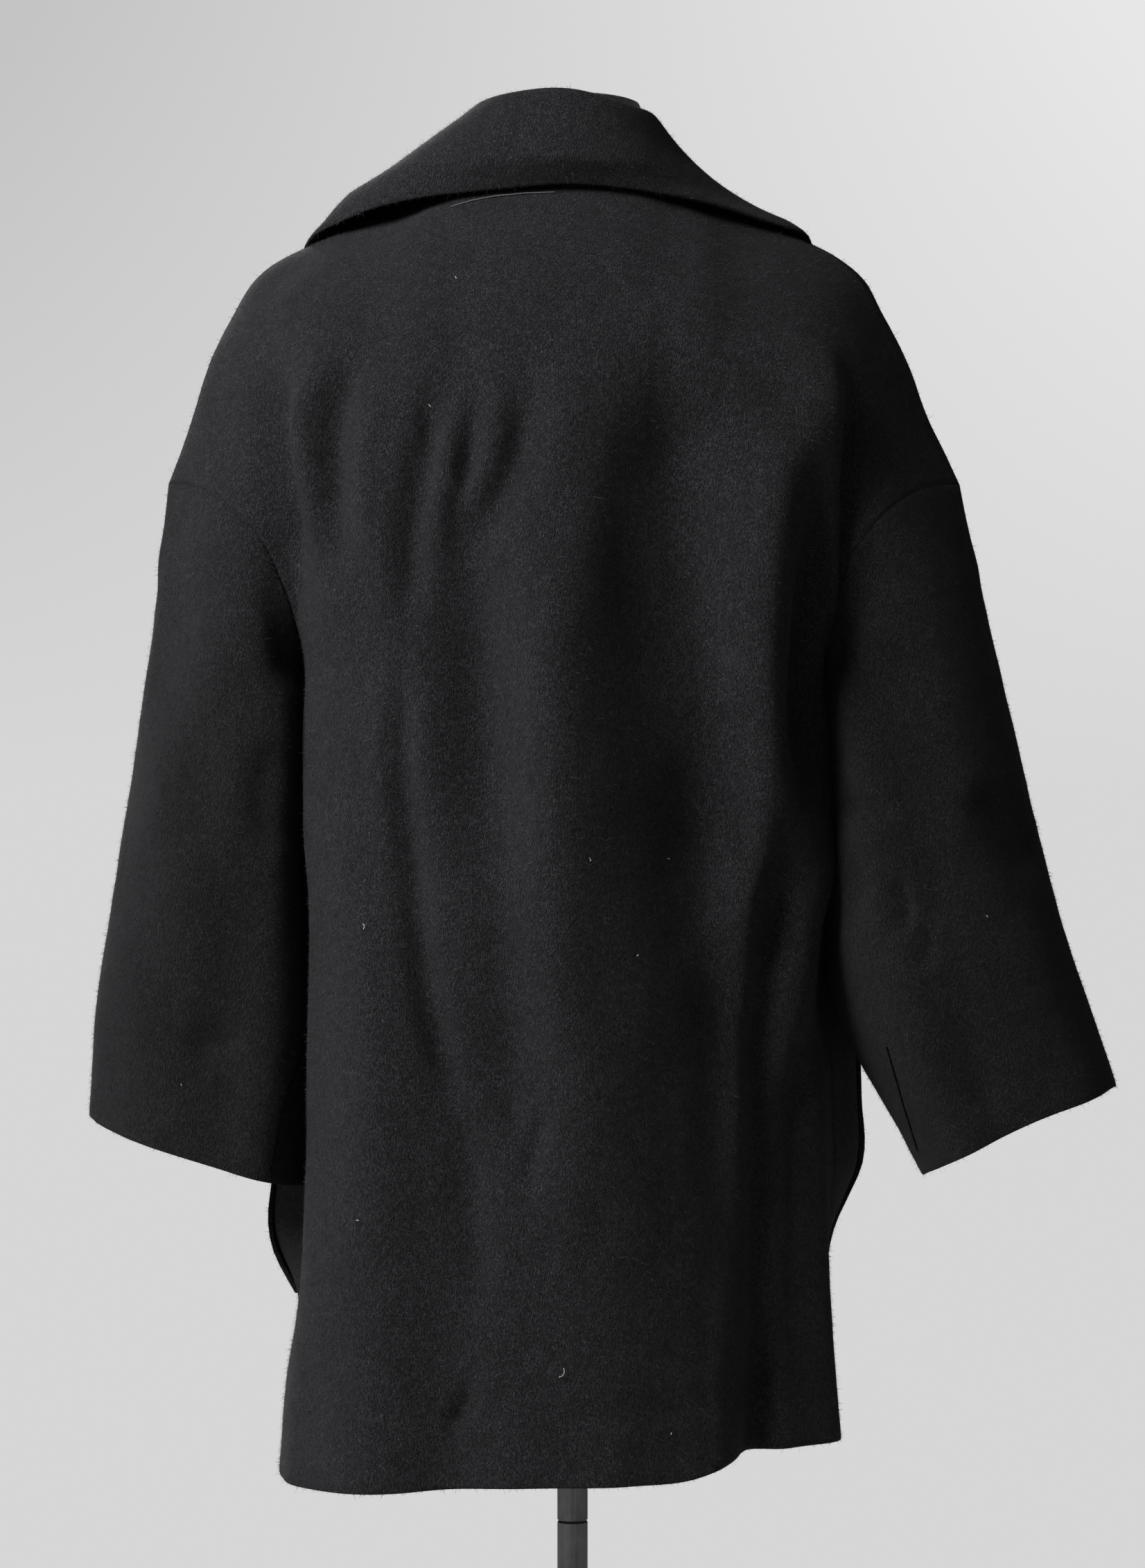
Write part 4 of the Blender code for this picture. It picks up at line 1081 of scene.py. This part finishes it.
def jersey_material():
    """Fine knitted jersey over the form."""
    material, tree, shader = node_tree("form_jersey_knit")
    place = object_place(tree)
    inputs = {"Vector": place, "Scale": 220.0, "Distortion": 1.2, "Detail": 1.0}
    courses = linked(tree, "ShaderNodeTexWave", inputs, bands_direction="Z")
    weave = worked(tree, "MULTIPLY", courses.outputs["Fac"], noise_of(tree, place, 500.0, 2.0))
    colour = blend_of(tree, "MIX", weave, scaled(stand().jersey, 0.82), scaled(stand().jersey, 1.12))
    bumped(tree, shader, weave, 0.3, 0.0005)
    feed(tree, shader, {"Base Color": colour, "Roughness": 0.9})
    return material


def plate_material():
    """Satin black paint with faint dust."""
    material, tree, shader = node_tree("base_satin_paint")
    place = object_place(tree)
    dust = noise_of(tree, place, 30.0, 6.0, 0.7)
    share = ranged(tree, dust, 0.4, 0.8)
    colour = blend_of(tree, "MIX", share, scaled(stand().plate, 1.0), scaled(stand().plate, 1.5))
    feed(tree, shader, {"Base Color": colour, "Roughness": ranged(tree, dust, 0.0, 1.0, 0.36, 0.6)})
    bumped(tree, shader, noise_of(tree, place, 700.0, 1.0), 0.08, 0.0003)
    return material


def plate_rows(radius, low, high, rims):
    """The profile of a round plate with its foot's and its head's rims eased."""
    foot, head = rims
    return (
        (0.0, low), (radius - foot.width, low), (radius - foot.middle, low + foot.middle),
        (radius, low + foot.height), (radius, high - head.height),
        (radius - head.middle, high - head.middle), (radius - head.width, high), (0.0, high),
    )


class COAT_OT_stand(bpy.types.Operator):
    """Models the dress form, its neck cap, the pole and the base."""

    bl_idname = "coat.stand"
    bl_label = "Dress form and stand"

    def execute(self, context):
        form = shell_of("form_body", "dress_form")
        form.data.attributes.remove(form.data.attributes["hold"])
        dress(form, "form_body", jersey_material())
        steel = steel_material()
        low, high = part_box("form_neck_cap")
        rows = plate_rows((high.x - low.x) / 2, low.z, high.z, CAP_RIMS)
        cap = turned("neck_cap", rows, 64, (low.x + high.x) / 2)
        dress(cap, "form_neck_cap", steel)
        radius = stand().pole_radius
        low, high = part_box("pole_upper")
        grooved = ((radius - POLE_LIP, low.z), (radius, low.z + POLE_LIP), (radius, high.z))
        pole = turned("pole_tube", ((0.0, low.z), *grooved, (0.0, high.z)), 48, 0.0)
        dress(pole, "pole_upper", steel)
        low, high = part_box("pole_lower")
        grooved = ((radius, low.z), (radius, high.z - POLE_LIP), (radius - POLE_LIP, high.z))
        pole = turned("pole_foot_tube", ((0.0, low.z), *grooved, (0.0, high.z)), 48, 0.0)
        dress(pole, "pole_lower", steel)
        low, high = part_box("base")
        base = turned("base_plate", plate_rows((high.x - low.x) / 2, low.z, high.z, BASE_RIMS), 96, 0.0)
        dress(base, "base", plate_material())
        return {"FINISHED"}


class COAT_OT_stage(bpy.types.Operator):
    """Sets the pale floor, the studio light and the camera at the photograph's angle."""

    bl_idname = "coat.stage"
    bl_label = "Studio stage"

    def execute(self, context):
        scene = context.scene
        stage = scene.stage_settings
        floor = turned("studio_floor", FLOOR_ROWS, 96, 0.0)
        material, tree, shader = node_tree("pale_floor")
        scuff = noise_of(tree, object_place(tree), 5.0, 5.0)
        colour = blend_of(tree, "MIX", scuff, (0.43, 0.43, 0.43, 1), (0.46, 0.46, 0.46, 1))
        feed(tree, shader, {"Base Color": colour, "Roughness": 0.8})
        glow = linked(tree, "ShaderNodeEmission", {"Color": (1, 1, 1, 1), "Strength": stage.floor_glow})
        eye = tree.nodes.new("ShaderNodeLightPath").outputs["Is Camera Ray"]
        part = worked(tree, "MULTIPLY", eye, FLOOR_GLOW_SHARE)
        both = linked(tree, "ShaderNodeMixShader", {0: part, 1: shader.outputs[0], 2: glow.outputs[0]})
        feed(tree, tree.nodes["Material Output"], {"Surface": both.outputs[0]})
        floor.data.materials.append(material)
        self.light(scene, stage)
        camera = bpy.data.objects.new("camera", bpy.data.cameras.new("camera"))
        scene.collection.objects.link(camera)
        camera.data.lens = stage.lens
        camera.data.sensor_width = 36.0
        camera.location = (0.0, stage.camera_distance, stage.camera_height)
        camera.rotation_euler = (math.pi / 2, 0.0, math.pi)
        scene.camera = camera
        scene.view_settings.view_transform = "Standard"
        return {"FINISHED"}

    def light(self, scene, stage):
        """Sets the backdrop that the camera sees, the light from all round and the lamps."""
        world = bpy.data.worlds.new("studio")
        scene.world = world
        world.use_nodes = True
        tree = world.node_tree
        room = tree.nodes["Background"]
        feed(tree, room, {"Color": (1.0, 1.0, 1.0, 1), "Strength": stage.fill})
        sky = tree.nodes.new("ShaderNodeTexCoord").outputs["Generated"]
        way = linked(tree, "ShaderNodeSeparateXYZ", {0: sky})
        above = worked(tree, "MAXIMUM", way.outputs[2], 0.0)
        reach = (-BACKDROP_REACH, BACKDROP_REACH)
        corner = worked(tree, "MULTIPLY", ranged(tree, way.outputs[0], *reach, *reach), above)
        bright, dim = stage.backdrop + stage.backdrop_slope, stage.backdrop - stage.backdrop_slope
        slope = ranged(tree, corner, -CORNER_REACH, CORNER_REACH, bright, dim)
        seen = linked(tree, "ShaderNodeBackground", {"Color": (1, 1, 1, 1), "Strength": slope})
        eye = tree.nodes.new("ShaderNodeLightPath").outputs["Is Camera Ray"]
        both = linked(tree, "ShaderNodeMixShader", {0: eye, 1: room.outputs[0], 2: seen.outputs[0]})
        feed(tree, tree.nodes["World Output"], {"Surface": both.outputs[0]})
        for name, place, aim, size, share in LAMPS:
            lamp = bpy.data.objects.new(name, bpy.data.lights.new(name, "AREA"))
            scene.collection.objects.link(lamp)
            lamp.data.shape = "DISK"
            lamp.data.size = size
            lamp.data.energy = stage.key * share
            lamp.location = place
            lamp.rotation_euler = (Vector(aim) - Vector(place)).to_track_quat("-Z", "Y").to_euler()


class COAT_PT_panel(bpy.types.Panel):
    """Lists the coat's pieces in the order they are made."""

    bl_label = "Coat"
    bl_idname = "COAT_PT_panel"
    bl_space_type = "VIEW_3D"
    bl_region_type = "UI"
    bl_category = "Coat"

    def draw(self, context):
        for operator in OPERATORS:
            self.layout.operator(operator.bl_idname)
        scene = context.scene
        for settings in (scene.coat_settings, scene.stand_settings, scene.stage_settings):
            box = self.layout.box()
            for name in settings.__annotations__:
                box.prop(settings, name)


OPERATORS = (
    COAT_OT_body, COAT_OT_pockets, COAT_OT_sleeves, COAT_OT_collar,
    COAT_OT_nap, COAT_OT_sewing, COAT_OT_stand, COAT_OT_stage,
)
SETTINGS = (CoatSettings, StandSettings, StageSettings)


def register():
    for kind in (*SETTINGS, *OPERATORS, COAT_PT_panel):
        bpy.utils.register_class(kind)
    bpy.types.Scene.coat_settings = bpy.props.PointerProperty(type=CoatSettings)
    bpy.types.Scene.stand_settings = bpy.props.PointerProperty(type=StandSettings)
    bpy.types.Scene.stage_settings = bpy.props.PointerProperty(type=StageSettings)


def unregister():
    del bpy.types.Scene.coat_settings
    del bpy.types.Scene.stand_settings
    del bpy.types.Scene.stage_settings
    for kind in reversed((*SETTINGS, *OPERATORS, COAT_PT_panel)):
        bpy.utils.unregister_class(kind)


def main():
    register()
    bpy.ops.coat.body()
    bpy.ops.coat.pockets()
    bpy.ops.coat.sleeves()
    bpy.ops.coat.collar()
    bpy.ops.coat.nap()
    bpy.ops.coat.sewing()
    bpy.ops.coat.stand()
    bpy.ops.coat.stage()


if __name__ == "__main__":
    main()
